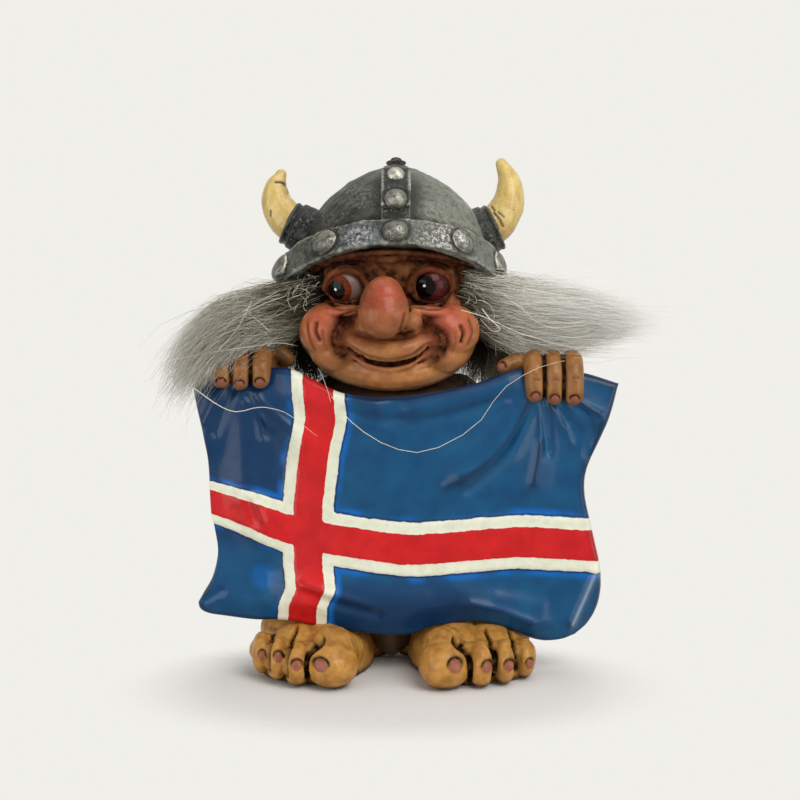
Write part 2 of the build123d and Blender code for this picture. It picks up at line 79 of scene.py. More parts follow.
def settle(obj, name, slot, *nodes):
    """Takes a piece from millimetres to metres, names it and ties it to the frame."""
    missing = [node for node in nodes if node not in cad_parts]
    if missing:
        raise RuntimeError(f"{name}: the frame has no {', '.join(missing)}")
    if not obj.data.polygons:
        raise RuntimeError(f"{name}: its skin came out empty")
    lone(obj)
    bake_transform()
    obj.scale = (MM, MM, MM)
    bake_transform()
    bpy.ops.object.shade_smooth()
    obj.name = name
    obj.data.name = name
    if nodes:
        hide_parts(*nodes)
    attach(obj, "root")


def apply_modifier(obj, kind, **values):
    """Adds a modifier, sets it and applies it."""
    lone(obj)
    bpy.ops.object.modifier_add(type=kind)
    modifier = obj.modifiers[-1]
    for key, value in values.items():
        setattr(modifier, key, value)
    bpy.ops.object.modifier_apply(modifier=modifier.name)


def mesh_of(name, points, faces):
    """A mesh object from points and from lists of their numbers, one for each face."""
    data = bpy.data.meshes.new(name)
    data.from_pydata(points.tolist(), [], faces)
    obj = bpy.data.objects.new(name, data)
    bpy.context.collection.objects.link(obj)
    return obj


# Clay: balls and tubes in millimetres that are pressed into one skin

def through(points, count):
    """Points of a smooth line through the given ones, evenly spaced by index."""
    pts = np.asarray(points, float)
    if len(pts) == 2:
        t = np.linspace(0, 1, count)[:, None]
        return pts[0] * (1 - t) + pts[1] * t
    ext = np.vstack([2 * pts[0] - pts[1], pts, 2 * pts[-1] - pts[-2]])
    out = []
    for s in np.linspace(0, len(pts) - 1 - 1e-9, count):
        i = int(s)
        t = s - i
        a, b, c, d = ext[i:i + 4]
        out.append(0.5 * (2 * b + (c - a) * t + (2 * a - 5 * b + 4 * c - d) * t * t
                          + (3 * b - a - 3 * c + d) * t ** 3))
    return np.array(out)


BALL_SEGMENTS, BALL_RINGS = 32, 20
TUBE_STEPS = 14
TUBE_ROUNDNESS = 5
SMOOTHING = 0.5


class Clay:
    """Lumps that are joined, remeshed and smoothed into one closed skin."""

    def __init__(self):
        self.lumps = []

    def ball(self, centre, radii, turn=0):
        """A ball that is turned about the upright by some degrees."""
        bpy.ops.mesh.primitive_uv_sphere_add(
            segments=BALL_SEGMENTS, ring_count=BALL_RINGS, radius=1, location=centre,
            rotation=(0, 0, math.radians(turn)), scale=radii)
        self.lumps.append(bpy.context.object)

    def tube(self, points, radii, count=TUBE_STEPS):
        """A round-ended tube through points, whose radii are spread along it."""
        line = through(points, count)
        thick = np.interp(np.linspace(0, 1, count), np.linspace(0, 1, len(radii)), radii)
        data = bpy.data.curves.new("clay_tube", "CURVE")
        data.dimensions = "3D"
        data.bevel_depth = 1
        data.bevel_resolution = TUBE_ROUNDNESS
        data.use_fill_caps = True
        spline = data.splines.new("POLY")
        spline.points.add(count - 1)
        for point, place, radius in zip(spline.points, line, thick):
            point.co = (*place, 1)
            point.radius = radius
        obj = bpy.data.objects.new("clay_tube", data)
        bpy.context.collection.objects.link(obj)
        lone(obj)
        bpy.ops.object.convert(target="MESH")
        self.lumps.append(bpy.context.object)
        for place, radius in ((line[0], thick[0]), (line[-1], thick[-1])):
            self.ball(place, (radius, radius, radius))

    def copy_node(self, node):
        """A copy of a CAD node, in millimetres."""
        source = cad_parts[node]
        obj = bpy.data.objects.new("clay_copy", source.data.copy())
        bpy.context.collection.objects.link(obj)
        obj.data.transform(Matrix.Scale(1 / MM, 4))
        obj.data.materials.clear()
        self.lumps.append(obj)

    def skin(self, voxel, soften):
        """One closed mesh round all lumps, with a grain in millimetres and rounds of softening."""
        bpy.ops.object.select_all(action="DESELECT")
        for lump in self.lumps:
            lump.select_set(True)
        obj = self.lumps[0]
        bpy.context.view_layer.objects.active = obj
        if len(self.lumps) > 1:
            bpy.ops.object.join()
        bake_transform()
        apply_modifier(obj, "REMESH", mode="VOXEL", voxel_size=voxel)
        apply_modifier(obj, "SMOOTH", factor=SMOOTHING, iterations=soften)
        return obj


# Reading and shaping a skin's points

def points_of(obj):
    """The mesh's points as an array of rows."""
    co = np.empty(len(obj.data.vertices) * 3)
    obj.data.vertices.foreach_get("co", co)
    return co.reshape(-1, 3)


def put_points(obj, co):
    """Moves the mesh's points."""
    obj.data.vertices.foreach_set("co", np.ascontiguousarray(co).ravel())
    obj.data.update()


def normals_of(obj):
    """The outward direction at each of the mesh's points."""
    no = np.empty(len(obj.data.vertices) * 3)
    obj.data.vertices.foreach_get("normal", no)
    return no.reshape(-1, 3)


def edges_of(obj):
    """The numbers of the two points of each edge."""
    ed = np.empty(len(obj.data.edges) * 2, int)
    obj.data.edges.foreach_get("vertices", ed)
    return ed.reshape(-1, 2)


def relief_of(obj, rounds):
    """How far each point stands out of its smoothed surroundings, in the mesh's units."""
    co, ed = points_of(obj), edges_of(obj)
    count = np.bincount(ed.ravel(), minlength=len(co))[:, None]
    soft = co.copy()
    for _ in range(rounds):
        total = np.zeros_like(soft)
        for axis in range(3):
            total[:, axis] = (np.bincount(ed[:, 0], soft[ed[:, 1], axis], len(co))
                              + np.bincount(ed[:, 1], soft[ed[:, 0], axis], len(co)))
        soft = 0.5 * soft + 0.5 * total / np.maximum(count, 1)
    return ((co - soft) * normals_of(obj)).sum(1)


def near(co, path):
    """Distance from each point to a line of points."""
    best = np.full(len(co), 1e9)
    path = np.asarray(path, float)
    for a, b in zip(path[:-1], path[1:]):
        ab = b - a
        t = np.clip(((co - a) @ ab) / max(ab @ ab, 1e-12), 0, 1)
        best = np.minimum(best, np.linalg.norm(co - (a + t[:, None] * ab), axis=1))
    return best


def bell(distance, width):
    """1 at no distance, falling off softly over a width."""
    return np.exp(-(distance / width) ** 2)


def ease(low, high, value):
    """A soft step from 0 at low to 1 at high."""
    t = np.clip((value - low) / (high - low), 0, 1)
    return t * t * (3 - 2 * t)


def most(fields):
    """The greatest of several fields at each point."""
    return np.maximum.reduce(list(fields))


def seen(co, path, count=24):
    """Distance in the front view from each point to a smooth line through (x, z) places."""
    return near(co[:, [0, 2]], through(path, count))


def drawn(co, path, width):
    """Strength of a soft line along a path in the front view."""
    return bell(seen(co, path), width)


def along(co, path, width, count=20):
    """Strength of a soft line along a path in space."""
    return bell(near(co, through(path, count)), width)


def dab(co, centre, width):
    """Strength of a soft round spot."""
    return bell(np.linalg.norm(co - centre, axis=1), width)


# Masks are cut off at this value
MASK_LIMIT = 50


def mask(obj, name, values):
    """Stores a number for each point, which a paint reads by name."""
    layer = obj.data.attributes.new(name, "FLOAT", "POINT")
    layer.data.foreach_set("value", np.clip(values, -MASK_LIMIT, MASK_LIMIT).astype(np.float32))


def facing_front(no):
    """Strength of the sides that look at the viewer."""
    return ease(0.1, -0.3, no[:, 1])


def relief_masks(obj, rounds, sunk, proud, extra=0.0):
    """Masks of what lies low, with extra places, for the dark wash and painted shade, and of what stands out,
    for paler paint and painted highlight.
    """
    lift = relief_of(obj, rounds)
    mask(obj, "wash_and_shade", np.clip(ease(*sunk, -lift) + extra, 0, 1))
    mask(obj, "high", ease(*proud, lift))


WAVES, WAVE_PITCH = 9, 2.2


def wobble(co, size, seed):
    """Smooth made-up unevenness between about -1 and 1, as a sum of waves."""
    rng = np.random.default_rng(seed)
    total = np.zeros(len(co))
    for _ in range(WAVES):
        wave = rng.normal(size=3) / size
        total += np.sin(co @ wave * WAVE_PITCH + rng.uniform(0, FULL_TURN))
    return total * 2 / WAVES


# Paint

def rgb(r, g, b):
    """A colour given as screen values, as the linear one that a shader takes."""
    def lin(c):
        c /= 255
        return c / 12.92 if c <= 0.04045 else ((c + 0.055) / 1.055) ** 2.4
    return (lin(r), lin(g), lin(b), 1.0)


class Paint:
    """A node material that is put together step by step."""

    def __init__(self, name):
        self.material = bpy.data.materials.new(name)
        self.material.use_nodes = True
        self.tree = self.material.node_tree
        self.shader = self.tree.nodes["Principled BSDF"]
        self.place = self.node("ShaderNodeTexCoord").outputs["Object"]

    def node(self, kind, **values):
        """A new node with some of its settings."""
        made = self.tree.nodes.new(kind)
        for key, value in values.items():
            setattr(made, key, value)
        return made

    def feed(self, socket, value):
        """Links a socket to a value, or sets it where the value is a constant."""
        if isinstance(value, bpy.types.NodeSocket):
            self.tree.links.new(value, socket)
        else:
            socket.default_value = value

    def attr(self, name):
        """The mask of that name."""
        return self.node("ShaderNodeAttribute", attribute_name=name).outputs["Fac"]

    def noise(self, size, detail=3.0, rough=0.55, stretch=None):
        """Noise whose blotches are about size millimetres wide."""
        made = self.node("ShaderNodeTexNoise")
        place = self.place
        if stretch:
            mapping = self.node("ShaderNodeMapping")
            self.feed(mapping.inputs["Vector"], place)
            mapping.inputs["Scale"].default_value = stretch
            place = mapping.outputs["Vector"]
        self.feed(made.inputs["Vector"], place)
        made.inputs["Scale"].default_value = 1 / (size * MM)
        made.inputs["Detail"].default_value = detail
        made.inputs["Roughness"].default_value = rough
        return made.outputs["Fac"]

    def span(self, value, low, high, to_low=0.0, to_high=1.0, smooth=True):
        """A step from to_low at low to to_high at high."""
        made = self.node("ShaderNodeMapRange",
                         interpolation_type="SMOOTHSTEP" if smooth else "LINEAR")
        self.feed(made.inputs["Value"], value)
        made.inputs["From Min"].default_value = low
        made.inputs["From Max"].default_value = high
        made.inputs["To Min"].default_value = to_low
        made.inputs["To Max"].default_value = to_high
        return made.outputs["Result"]

    def sum(self, a, b, how="ADD"):
        """Two values joined by a kind of sum."""
        made = self.node("ShaderNodeMath", operation=how)
        self.feed(made.inputs[0], a)
        self.feed(made.inputs[1], b)
        return made.outputs["Value"]

    def times(self, a, b):
        """One value multiplied by another."""
        return self.sum(a, b, "MULTIPLY")

    def mix(self, share, a, b):
        """Colour a, with a share of colour b."""
        made = self.node("ShaderNodeMix", data_type="RGBA")
        self.feed(made.inputs["Factor"], share)
        self.feed(made.inputs["A"], a)
        self.feed(made.inputs["B"], b)
        return made.outputs["Result"]

    def glaze(self, colour, layer, share, tint):
        """A colour with a tint laid over it where a mask is strong."""
        return self.mix(self.times(self.attr(layer), share), colour, tint)

    def ramp(self, value, *stops):
        """Colours that follow each other along a value."""
        made = self.node("ShaderNodeValToRGB")
        self.feed(made.inputs["Fac"], value)
        elements = made.color_ramp.elements
        while len(elements) < len(stops):
            elements.new(0.5)
        for element, (place, colour) in zip(elements, stops):
            element.position = place
            element.color = colour
        return made.outputs["Color"]

    def bump(self, height, depth):
        """Surface unevenness of a depth in millimetres."""
        made = self.node("ShaderNodeBump")
        self.feed(made.inputs["Height"], height)
        made.inputs["Strength"].default_value = 1.0
        made.inputs["Distance"].default_value = depth * MM
        self.feed(self.shader.inputs["Normal"], made.outputs["Normal"])

    def finish(self, colour, roughness, coat=0.0, coat_roughness=0.1, metallic=0.0, ior=1.5):
        """Feeds the shader and gives the finished material."""
        s = self.shader.inputs
        self.feed(s["Base Color"], colour)
        self.feed(s["Roughness"], roughness)
        self.feed(s["Metallic"], metallic)
        self.feed(s["Coat Weight"], coat)
        self.feed(s["Coat Roughness"], coat_roughness)
        s["IOR"].default_value = ior
        return self.material


def wear_paint(obj, material):
    """Makes a material the piece's only one."""
    obj.data.materials.clear()
    obj.data.materials.append(material)


# How skin shines, bare and under the dull dark wash and painted shade
SKIN_SHINE, SHINE_UNDER_WASH_AND_SHADE = 0.5, 0.12
SKIN_COAT, COAT_UNDER_WASH_AND_SHADE = 0.22, 0.0


def skin_paint(name, base, light, wash_and_shade_colour, glazes, edges=()):
    """Painted skin: a base, paler high places that are partly painted highlight, glazes, a dark wash with
    painted shade in the creases and shaded places, and picked-out edges.
    """
    p = Paint(name)
    colour = p.mix(p.span(p.noise(2.6, 4), 0.3, 0.7), base, light)
    # Paler high places, partly painted highlight
    colour = p.glaze(colour, "high", 0.75, light)
    for layer, tint in glazes:
        colour = p.glaze(colour, layer, p.span(p.noise(1.1), 0.2, 0.75, 0.7, 1.0), tint)
    # Dark wash with painted shade in the creases and shaded places
    colour = p.glaze(colour, "wash_and_shade", p.span(p.noise(1.4), 0.3, 0.7, 0.78, 1.1), wash_and_shade_colour)
    for layer, tint in edges:
        colour = p.glaze(colour, layer, 0.6, tint)
    speck = p.span(p.noise(0.35, 2, 0.7), 0.70, 0.78)
    colour = p.mix(p.times(speck, 0.35), colour, wash_and_shade_colour)
    p.bump(p.noise(0.9, 4), 0.05)
    rough = p.span(p.noise(1.7), 0.2, 0.8, 0.34, 0.5)
    shine = p.span(p.attr("wash_and_shade"), 0.2, 0.8, SKIN_SHINE, SHINE_UNDER_WASH_AND_SHADE)
    p.feed(p.shader.inputs["Specular IOR Level"], shine)
    coat = p.span(p.attr("wash_and_shade"), 0.2, 0.8, SKIN_COAT, COAT_UNDER_WASH_AND_SHADE)
    return p.finish(colour, rough, coat=coat, coat_roughness=0.11, ior=1.2)


# Head

FACE_X = -1.6
EYES = {"right": (-10.3, -9.7, 81.0), "left": (7.1, -9.9, 81.2)}
EYE_R = 4.2
NECK = [(0, 4, 66), (0, 4, 53)]
JAW = [(-15.6, -1.5, 70.0), (-13.6, -4.8, 66.5), (-8.6, -8.0, 63.7), (-1.4, -9.8, 62.6), (5.8, -8.2, 63.5),
       (11.0, -5.2, 66.3), (13.4, -1.5, 70.0)]
UPPER_LIP = [(-10.4, -13.0, 70.3), (-6.3, -15.0, 68.3), (-1.5, -15.7, 67.7), (3.4, -15.2, 68.4),
             (7.0, -13.2, 70.8)]
LOWER_LIP = [(-9.2, -12.5, 67.0), (-5.4, -13.0, 64.9), (-1.3, -13.3, 64.1), (3.0, -13.1, 65.0),
             (6.2, -12.5, 67.4)]
# The right eye's lids, the top of the cheek and the brow, which are mirrored for the left side
UPPER_LID = [(-14.9, -10.4, 80.2), (-13.5, -12.2, 83.0), (-10.3, -13.3, 84.3), (-7.3, -13.4, 83.3),
             (-5.6, -13.2, 80.4)]
LOWER_LID = [(-14.9, -10.4, 80.2), (-12.9, -12.2, 78.1), (-10.3, -13.0, 77.5), (-7.6, -13.3, 78.2),
             (-5.6, -13.2, 80.4)]
CHEEK_TOP = [(-16.6, -9.4, 74.8), (-13.4, -13.0, 75.4), (-9.8, -15.0, 76.0), (-6.6, -15.6, 76.6)]
BROW = [(-17.0, -6.6, 84.0), (-13, -11.2, 86.6), (-7.5, -13.4, 87.2), (FACE_X, -13.8, 86.4)]
# The edge of the helmet's lining, over the brow
LINING = [(-22.4, 3.0, 82.0), (-17.6, -8.0, 84.9), (-10.5, -13.4, 87.0), (-1.0, -15.8, 88.0),
          (8.6, -13.4, 87.0), (15.2, -8.0, 84.9), (19.8, 3.0, 82.0)]
# Lines in the front view
MOUTH = [(-10.2, 68.9), (-8.6, 67.5), (-6, 66.2), (-1.3, 65.3), (3.4, 66.3), (5.4, 67.6), (6.8, 69.1)]
RIGHT_SMILE = [(-8.4, 75.8), (-10.6, 74.4), (-12.4, 72.2), (-13.0, 69.4), (-12.2, 66.8)]
LEFT_SMILE = [(6.0, 73.2), (7.6, 72.6), (9.7, 71.4), (10.6, 69.0), (9.6, 66.4)]
UNDER_NOSE = [(-7.6, 71.6), (-2.0, 70.4), (3.6, 71.0)]
# Red on the cheeks and the nose: strength, middle and width
BLUSH = ((0.7, (-14.4, -14.0, 74.0), 6.6), (0.8, (11.0, -14.8, 74.6), 6.6), (0.85, (-2.3, -23.5, 80.0), 6.0))
# Creases: a line in the front view, how deep it is cut and its half width
NOSE_CREASES = (
    ([(1.0, 72.0), (1.6, 74.2), (2.1, 76.0)], 0.6, 0.5),
    ([(0.4, 71.4), (1.8, 71.3), (3.2, 71.8)], 0.8, 0.5))
FACE_CREASES = (
    (MOUTH, 1.7, 0.8),
    (RIGHT_SMILE, 0.9, 0.8),
    (LEFT_SMILE, 1.0, 0.85),
    ([(-16.4, 73.4), (-16.6, 71.6), (-15.8, 69.8)], 0.8, 0.42),
    ([(-18.4, 73.0), (-18.2, 70.4), (-16.8, 67.6)], 0.4, 0.4),
    ([(-14.8, 71.6), (-14.9, 69.6), (-14.2, 67.6)], 0.35, 0.4),
    ([(13.4, 72.8), (13.9, 71.2), (13.5, 69.4)], 0.8, 0.42),
    ([(15.2, 74.0), (16.0, 71.4), (15.0, 68.6)], 0.4, 0.4),
    ([(11.9, 71.4), (12.3, 69.4), (11.6, 67.2)], 0.35, 0.4),
    ([(-15.4, 80.6), (-13.8, 84.0), (-10.3, 85.5), (-7, 84.6), (-5.0, 81.6)], 0.22, 0.4),
    ([(12.2, 80.8), (10.6, 84.1), (7.1, 85.6), (3.8, 84.6), (1.8, 81.6)], 0.22, 0.4),
    ([(-15.0, 78.8), (-12.6, 76.9), (-10.0, 76.4), (-6.6, 77.4)], 0.55, 0.5),
    ([(11.8, 78.9), (9.4, 77.0), (6.8, 76.5), (3.4, 77.5)], 0.55, 0.5),
    ([(3.6, 64.6), (6.4, 65.6), (8.2, 67.2)], 0.25, 0.3),
    ([(4.4, 63.4), (7.0, 64.2), (8.8, 65.4)], 0.2, 0.3))


def flip(path):
    """A line of the face mirrored over its middle."""
    return [(2 * FACE_X - p[0], *p[1:]) for p in path]


def form_head():
    """The head's clay as one skin."""
    clay = Clay()
    skull = (((-1.7, 2.6, 70.6), (19.4, 17.2, 11.6)), ((-1.0, 3.6, 74.0), (19.2, 18.0, 11.5)),
             ((-0.2, 4, 81.5), (18.6, 17.4, 13.5)))
    cheeks = (((-13.0, -8.4, 71.4), (7.2, 6.4, 6.0)), ((10.2, -8.8, 71.3), (7.2, 6.4, 6.0)),
              ((-12.0, -7.4, 67.4), (6.0, 6.0, 5.2)), ((9.4, -7.8, 67.3), (6.0, 6.0, 5.2)))
    # The nose's bulb and bridge, then its wings
    nose = (((-2.4, -20.2, 75.8), (5.2, 5.2, 4.9)), ((-2.4, -19.4, 78.9), (4.25, 4.4, 4.5)),
            ((-2.4, -19.9, 77.4), (5.0, 4.9, 4.6)), ((-2.2, -15.0, 77.4), (4.0, 3.6, 4.2)),
            ((-5.8, -17.2, 73.7), (2.5, 2.6, 2.0)), ((3.3, -17.0, 73.9), (2.2, 2.6, 2.1)))
    for centre, radii in skull:
        clay.ball(centre, radii)
    clay.tube(NECK, [8.2, 7.0])
    clay.tube(JAW, [4.4, 4.3, 4.0, 3.8, 4.0, 4.3, 4.4], count=22)
    for centre, radii in cheeks + nose:
        clay.ball(centre, radii)
    clay.tube(UPPER_LIP, [1.4, 2.2, 2.35, 2.2, 1.4])
    clay.tube(LOWER_LIP, [0.7, 1.0, 1.1, 1.0, 0.7])
    for line, thick in ((UPPER_LID, [0.6, 0.8, 0.8, 0.6]), (LOWER_LID, [0.4, 0.5, 0.5, 0.4]),
                        (CHEEK_TOP, [0.7, 1.2, 1.2, 0.7]), (BROW, [1.0, 1.2, 1.1, 0.9])):
        clay.tube(line, thick)
        clay.tube(flip(line), thick)
    clay.tube(LINING, [0.3, 0.55, 0.6, 0.55, 0.3], count=24)
    return clay.skin(in_mm("head_voxel"), soften=6)


def carve_head(head):
    """Cuts the creases. Gives how far each point faces front and how deep in a crease it lies."""
    co, no = points_of(head), normals_of(head)
    x, y, _ = co.T
    front = ease(0.35, -0.25, no[:, 1]) * ease(4, -2, y)
    off_nose = front * ease(-18.6, -17.0, y)
    past_mouth = 0.7 * (ease(-8.0, -10.4, x) + ease(4.8, 7.0, x))
    push, crease = 0.06 * wobble(co, size=2.2, seed=3), np.zeros(len(co))
    for creases, facing in ((FACE_CREASES, off_nose), (NOSE_CREASES, front)):
        for line, depth, width in creases:
            d = seen(co, line)
            if line is MOUTH:
                d = d + past_mouth
            push += depth * bell(d, width) * facing
            crease = np.maximum(crease, bell(d, width * 0.9) * facing * min(1, depth * 1.3))
    put_points(head, co - no * push[:, None])
    apply_modifier(head, "SMOOTH", factor=SMOOTHING, iterations=1)
    return front, crease


def tint_head(head, front, crease):
    """Masks for the face's dark wash with painted shade, its painted light, glazes and picked-out edges."""
    co = points_of(head)
    x, y, z = co.T
    lift = relief_of(head, rounds=14)
    hollow = ease(0.03, 0.28, -lift)
    # Painted shadow under the helmet's brim, and painted shade under the chin and on the back of the head
    under_brim = ease(83.4, 86.6, z)
    throat = ease(60.0, 58.4, z) * ease(-9, -4, y) + ease(4, 12, y) * 0.7
    # Painted shade round the eyes and round the nose
    sockets = most(bell(np.hypot((x - eye[0]) / 1.25, z - eye[2] - 0.6), 5.4) for eye in EYES.values())
    sockets = sockets * ease(76.2, 77.8, z) * front
    nose_outline = np.abs(np.hypot((x + 2.5) / 5.2, (z - 77.6) / 6.0) - 1) * 5.5
    behind_nose = bell(nose_outline, 1.3) * ease(-17.5, -15.0, y) * ease(73, 76, z) * front
    # Painted shade in the smile folds and at the temples under the brim
    inward = np.array((1.2, 0, 0))
    smile = most((drawn(co - inward, RIGHT_SMILE[1:], 2.2), drawn(co + inward, LEFT_SMILE[1:], 2.2)))
    temples = 0.85 * (ease(-14.2, -16.0, x) + ease(11.2, 13.0, x)) * ease(76.6, 78.4, z)
    # Dark lines and painted shade along the lids
    lid_lines_and_shade = most(share * along(co, line, 1.0) for share, line in (
        (0.85, LOWER_LID), (0.75, flip(LOWER_LID)), (0.75, flip(UPPER_LID)), (0.6, UPPER_LID[2:])))
    # Painted shade on the nose's lower half, under the nose and on the upper lip
    low_nose = ease(81.0, 75.0, z) * ease(-17.0, -19.5, y)
    under_nose = drawn(co, UNDER_NOSE, 1.0) * front
    dark = most((crease, hollow, 0.95 * smile * front, 0.6 * under_nose, 0.85 * behind_nose, temples,
                 lid_lines_and_shade, 0.34 * low_nose, 0.27 * along(co, UPPER_LIP, 3.0)))
    mask(head, "wash_and_shade", np.clip(dark + 0.7 * under_brim + throat + 0.9 * sockets, 0, 1))
    # Painted light: the jaw's sides are painted paler
    jaw_sides = ease(70.5, 67.0, z) * ease(6.0, 10.0, np.abs(x - FACE_X)) * front
    mask(head, "high", np.maximum(ease(0.05, 0.3, lift), jaw_sides))
    mask(head, "blush", most(share * dab(co, place, width) for share, place, width in BLUSH))
    below_mouth = ease(0.2, -0.6, z - np.interp(x, *zip(*MOUTH)))
    mask(head, "lip", bell(seen(co, MOUTH) - 0.7, 0.8) * below_mouth * front)
    mask(head, "lids", most(along(co + (0, 0.6, 0), line, 0.8) for line in (UPPER_LID, flip(UPPER_LID))))
    mask(head, "lining", along(co, LINING, 0.9, 30) * (1 - np.clip(temples, 0, 1)))


def build_head():
    """Models, carves and paints the head."""
    head = form_head()
    tint_head(head, *carve_head(head))
    wear_paint(head, skin_paint(
        "face_paint", rgb(152, 94, 54), rgb(182, 124, 74), rgb(48, 22, 12),
        (("blush", rgb(172, 64, 53)), ("lip", rgb(160, 84, 60))),
        (("lids", rgb(104, 52, 32)), ("lining", rgb(78, 38, 28)))))
    settle(head, "head_cast", "skin", "head")


# Eyes

# Where each eye looks, its pupil's half angle in degrees, its white near and away from the nose, its iris
LOOKS = {
    "right": dict(gaze=(-0.5, -0.83, -0.24), pupil=29, white=(rgb(118, 97, 89), rgb(72, 30, 23)),
                  iris=(rgb(64, 22, 10), rgb(120, 46, 20))),
    # The left eye is painted darker than the right one, as painted shade
    "left": dict(gaze=(-0.32, -0.93, -0.1), pupil=33, white=(rgb(96, 34, 34), rgb(52, 18, 18)),
                 iris=(rgb(48, 16, 12), rgb(86, 26, 20)))}
PUPIL_BLACK, GLINT_WHITE = rgb(6, 4, 4), rgb(244, 240, 232)
GLINT_OFF_GAZE = (0.02, 0, 0.06)
IRIS_RIM = (46, 50)
GLINT_RIM = (5, 3.5)


def degrees_off(co, axis):
    """Angle between each point of an eyeball and an axis through its middle."""
    axis = axis / np.linalg.norm(axis)
    return np.degrees(np.arccos(np.clip((co @ axis) / EYE_R, -1, 1)))


def eye_paint(side):
    """A glossy eye: a black pupil with a painted glint, a mottled iris and a white that darkens outward."""
    look = LOOKS[side]
    p = Paint(f"{side}_eye_paint")
    angle = p.sum(p.attr("pupil"), p.span(p.noise(0.5), 0, 1, -2.5, 2.5, False))
    white = p.mix(p.span(p.attr("outer"), -0.2, 0.9), *look["white"])
    iris = p.mix(p.span(p.noise(0.4, 4), 0.3, 0.7), *look["iris"])
    colour = p.mix(p.span(angle, *IRIS_RIM), iris, white)
    colour = p.mix(p.span(angle, look["pupil"] - 1.5, look["pupil"] + 1.5), PUPIL_BLACK, colour)
    colour = p.mix(p.span(p.attr("glint"), *GLINT_RIM), colour, GLINT_WHITE)
    p.bump(p.noise(1.2, 2), 0.02)
    return p.finish(colour, p.span(p.noise(1, 2), 0, 1, 0.06, 0.12), ior=1.22)


def build_eyes():
    """Models and paints both eyes."""
    for side, centre in EYES.items():
        bpy.ops.mesh.primitive_uv_sphere_add(segments=72, ring_count=48, radius=EYE_R, location=centre)
        eye = lone(bpy.context.object)
        bake_transform()
        co = points_of(eye) - centre
        gaze = np.array(LOOKS[side]["gaze"])
        gaze /= np.linalg.norm(gaze)
        mask(eye, "pupil", degrees_off(co, gaze))
        mask(eye, "glint", degrees_off(co, gaze + GLINT_OFF_GAZE))
        mask(eye, "outer", np.sign(centre[0]) * co[:, 0] / EYE_R)
        wear_paint(eye, eye_paint(side))
        settle(eye, f"{side}_eye_ball", "eye", f"{side}_eye")


# Hands and feet

LIMB_WASH_AND_SHADE, NAIL_PINK = rgb(16, 8, 5), rgb(134, 74, 60)
HAND_SKIN = (rgb(120, 77, 39), rgb(148, 102, 55))
FOOT_SKIN = (rgb(150, 102, 44), rgb(186, 136, 66))


def nail(co, no, place, rx, rz):
    """Weights of a nail plate and of the line around it, in the front view."""
    across, up = (co[:, 0] - place[0]) / rx, (co[:, 2] - place[1]) / rz
    d = np.hypot(across, up)
    facing = facing_front(no)
    return ease(1.0, 0.86, d) * facing, bell(d - 1.06, 0.24) * facing * ease(-0.6, 0.4, up)


def nails_of(co, no, places, in_front):
    """Weights of all nail plates of a limb and of the lines around them."""
    pairs = [nail(co, no, *place) for place in places]
    return [most(fields) * in_front for fields in zip(*pairs)]


def paint_limb(obj, name, extra_wash_and_shade, nails, skin):
    """Paints a hand or foot, with a dark wash and painted shade in its hollows and in some more places."""
    relief_masks(obj, rounds=10, sunk=(0.02, 0.22), proud=(0.05, 0.25), extra=extra_wash_and_shade)
    mask(obj, "nail", nails)
    wear_paint(obj, skin_paint(name, *skin, LIMB_WASH_AND_SHADE, (("nail", NAIL_PINK),)))


# Fingers: place across and height of the tip. Top is the height of the knuckles, and the last number is how
# much painted shade darkens the thumb
HANDS = {
    "right": dict(fingers=((-35.5, 60.5), (-31.7, 60.1), (-27.6, 60.5)), palm=(-31.6, -6.6, 62.6), top=66.0,
                  thumb=[(-27.4, -7.6, 63.0), (-25.0, -8.8, 66.8), (-22.4, -9.6, 65.4)], thumb_nail=(),
                  thumb_shade=0.85),
    "left": dict(fingers=((28.4, 57.6), (32.3, 57.1), (36.3, 57.0)), palm=(32.0, -6.6, 61.6), top=64.9,
                 thumb=[(29.0, -9.0, 63.8), (25.6, -10.4, 65.0), (22.4, -12.2, 64.2)],
                 thumb_nail=(((21.6, 64.2), 1.0, 1.2),), thumb_shade=0.2)}


def form_hand(sign, hand):
    """A hand's clay as one skin: the palm and wrist, fingers hooked over the flag and the thumb."""
    clay = Clay()
    clay.ball(hand["palm"], (7.4, 4.0, 4.6))
    clay.tube([hand["palm"], (sign * 27.0, -2.0, 60.0)], [3.6, 3.2])
    top = hand["top"]
    for x, tip in hand["fingers"]:
        hook = [(x * 0.98, -7.6, top - 4.0), (x, -8.9, top - 0.4), (x, -12.4, top + 0.6),
                (x, -15.4, top - 1.2), (x * 1.003, -16.0, 0.5 * (top + tip)), (x * 1.004, -16.1, tip + 1.7)]
        clay.tube(hook, [2.2, 2.3, 2.25, 2.2, 2.15, 2.0], count=18)
    clay.tube(hand["thumb"], [2.2, 2.0, 1.6])
    # The ball of the thumb
    clay.ball((sign * 25.6, -6.4, 61.8), (3.4, 3.0, 3.6))
    return clay.skin(in_mm("limb_voxel"), soften=4)


def knuckle_dent(x, z, middle, height):
    """Strength of a short dent across a finger."""
    past_end = np.maximum(np.abs(x - middle - 0.4) - 0.7, 0)
    return bell(np.abs(z - height) + 2.2 * past_end, 0.3)


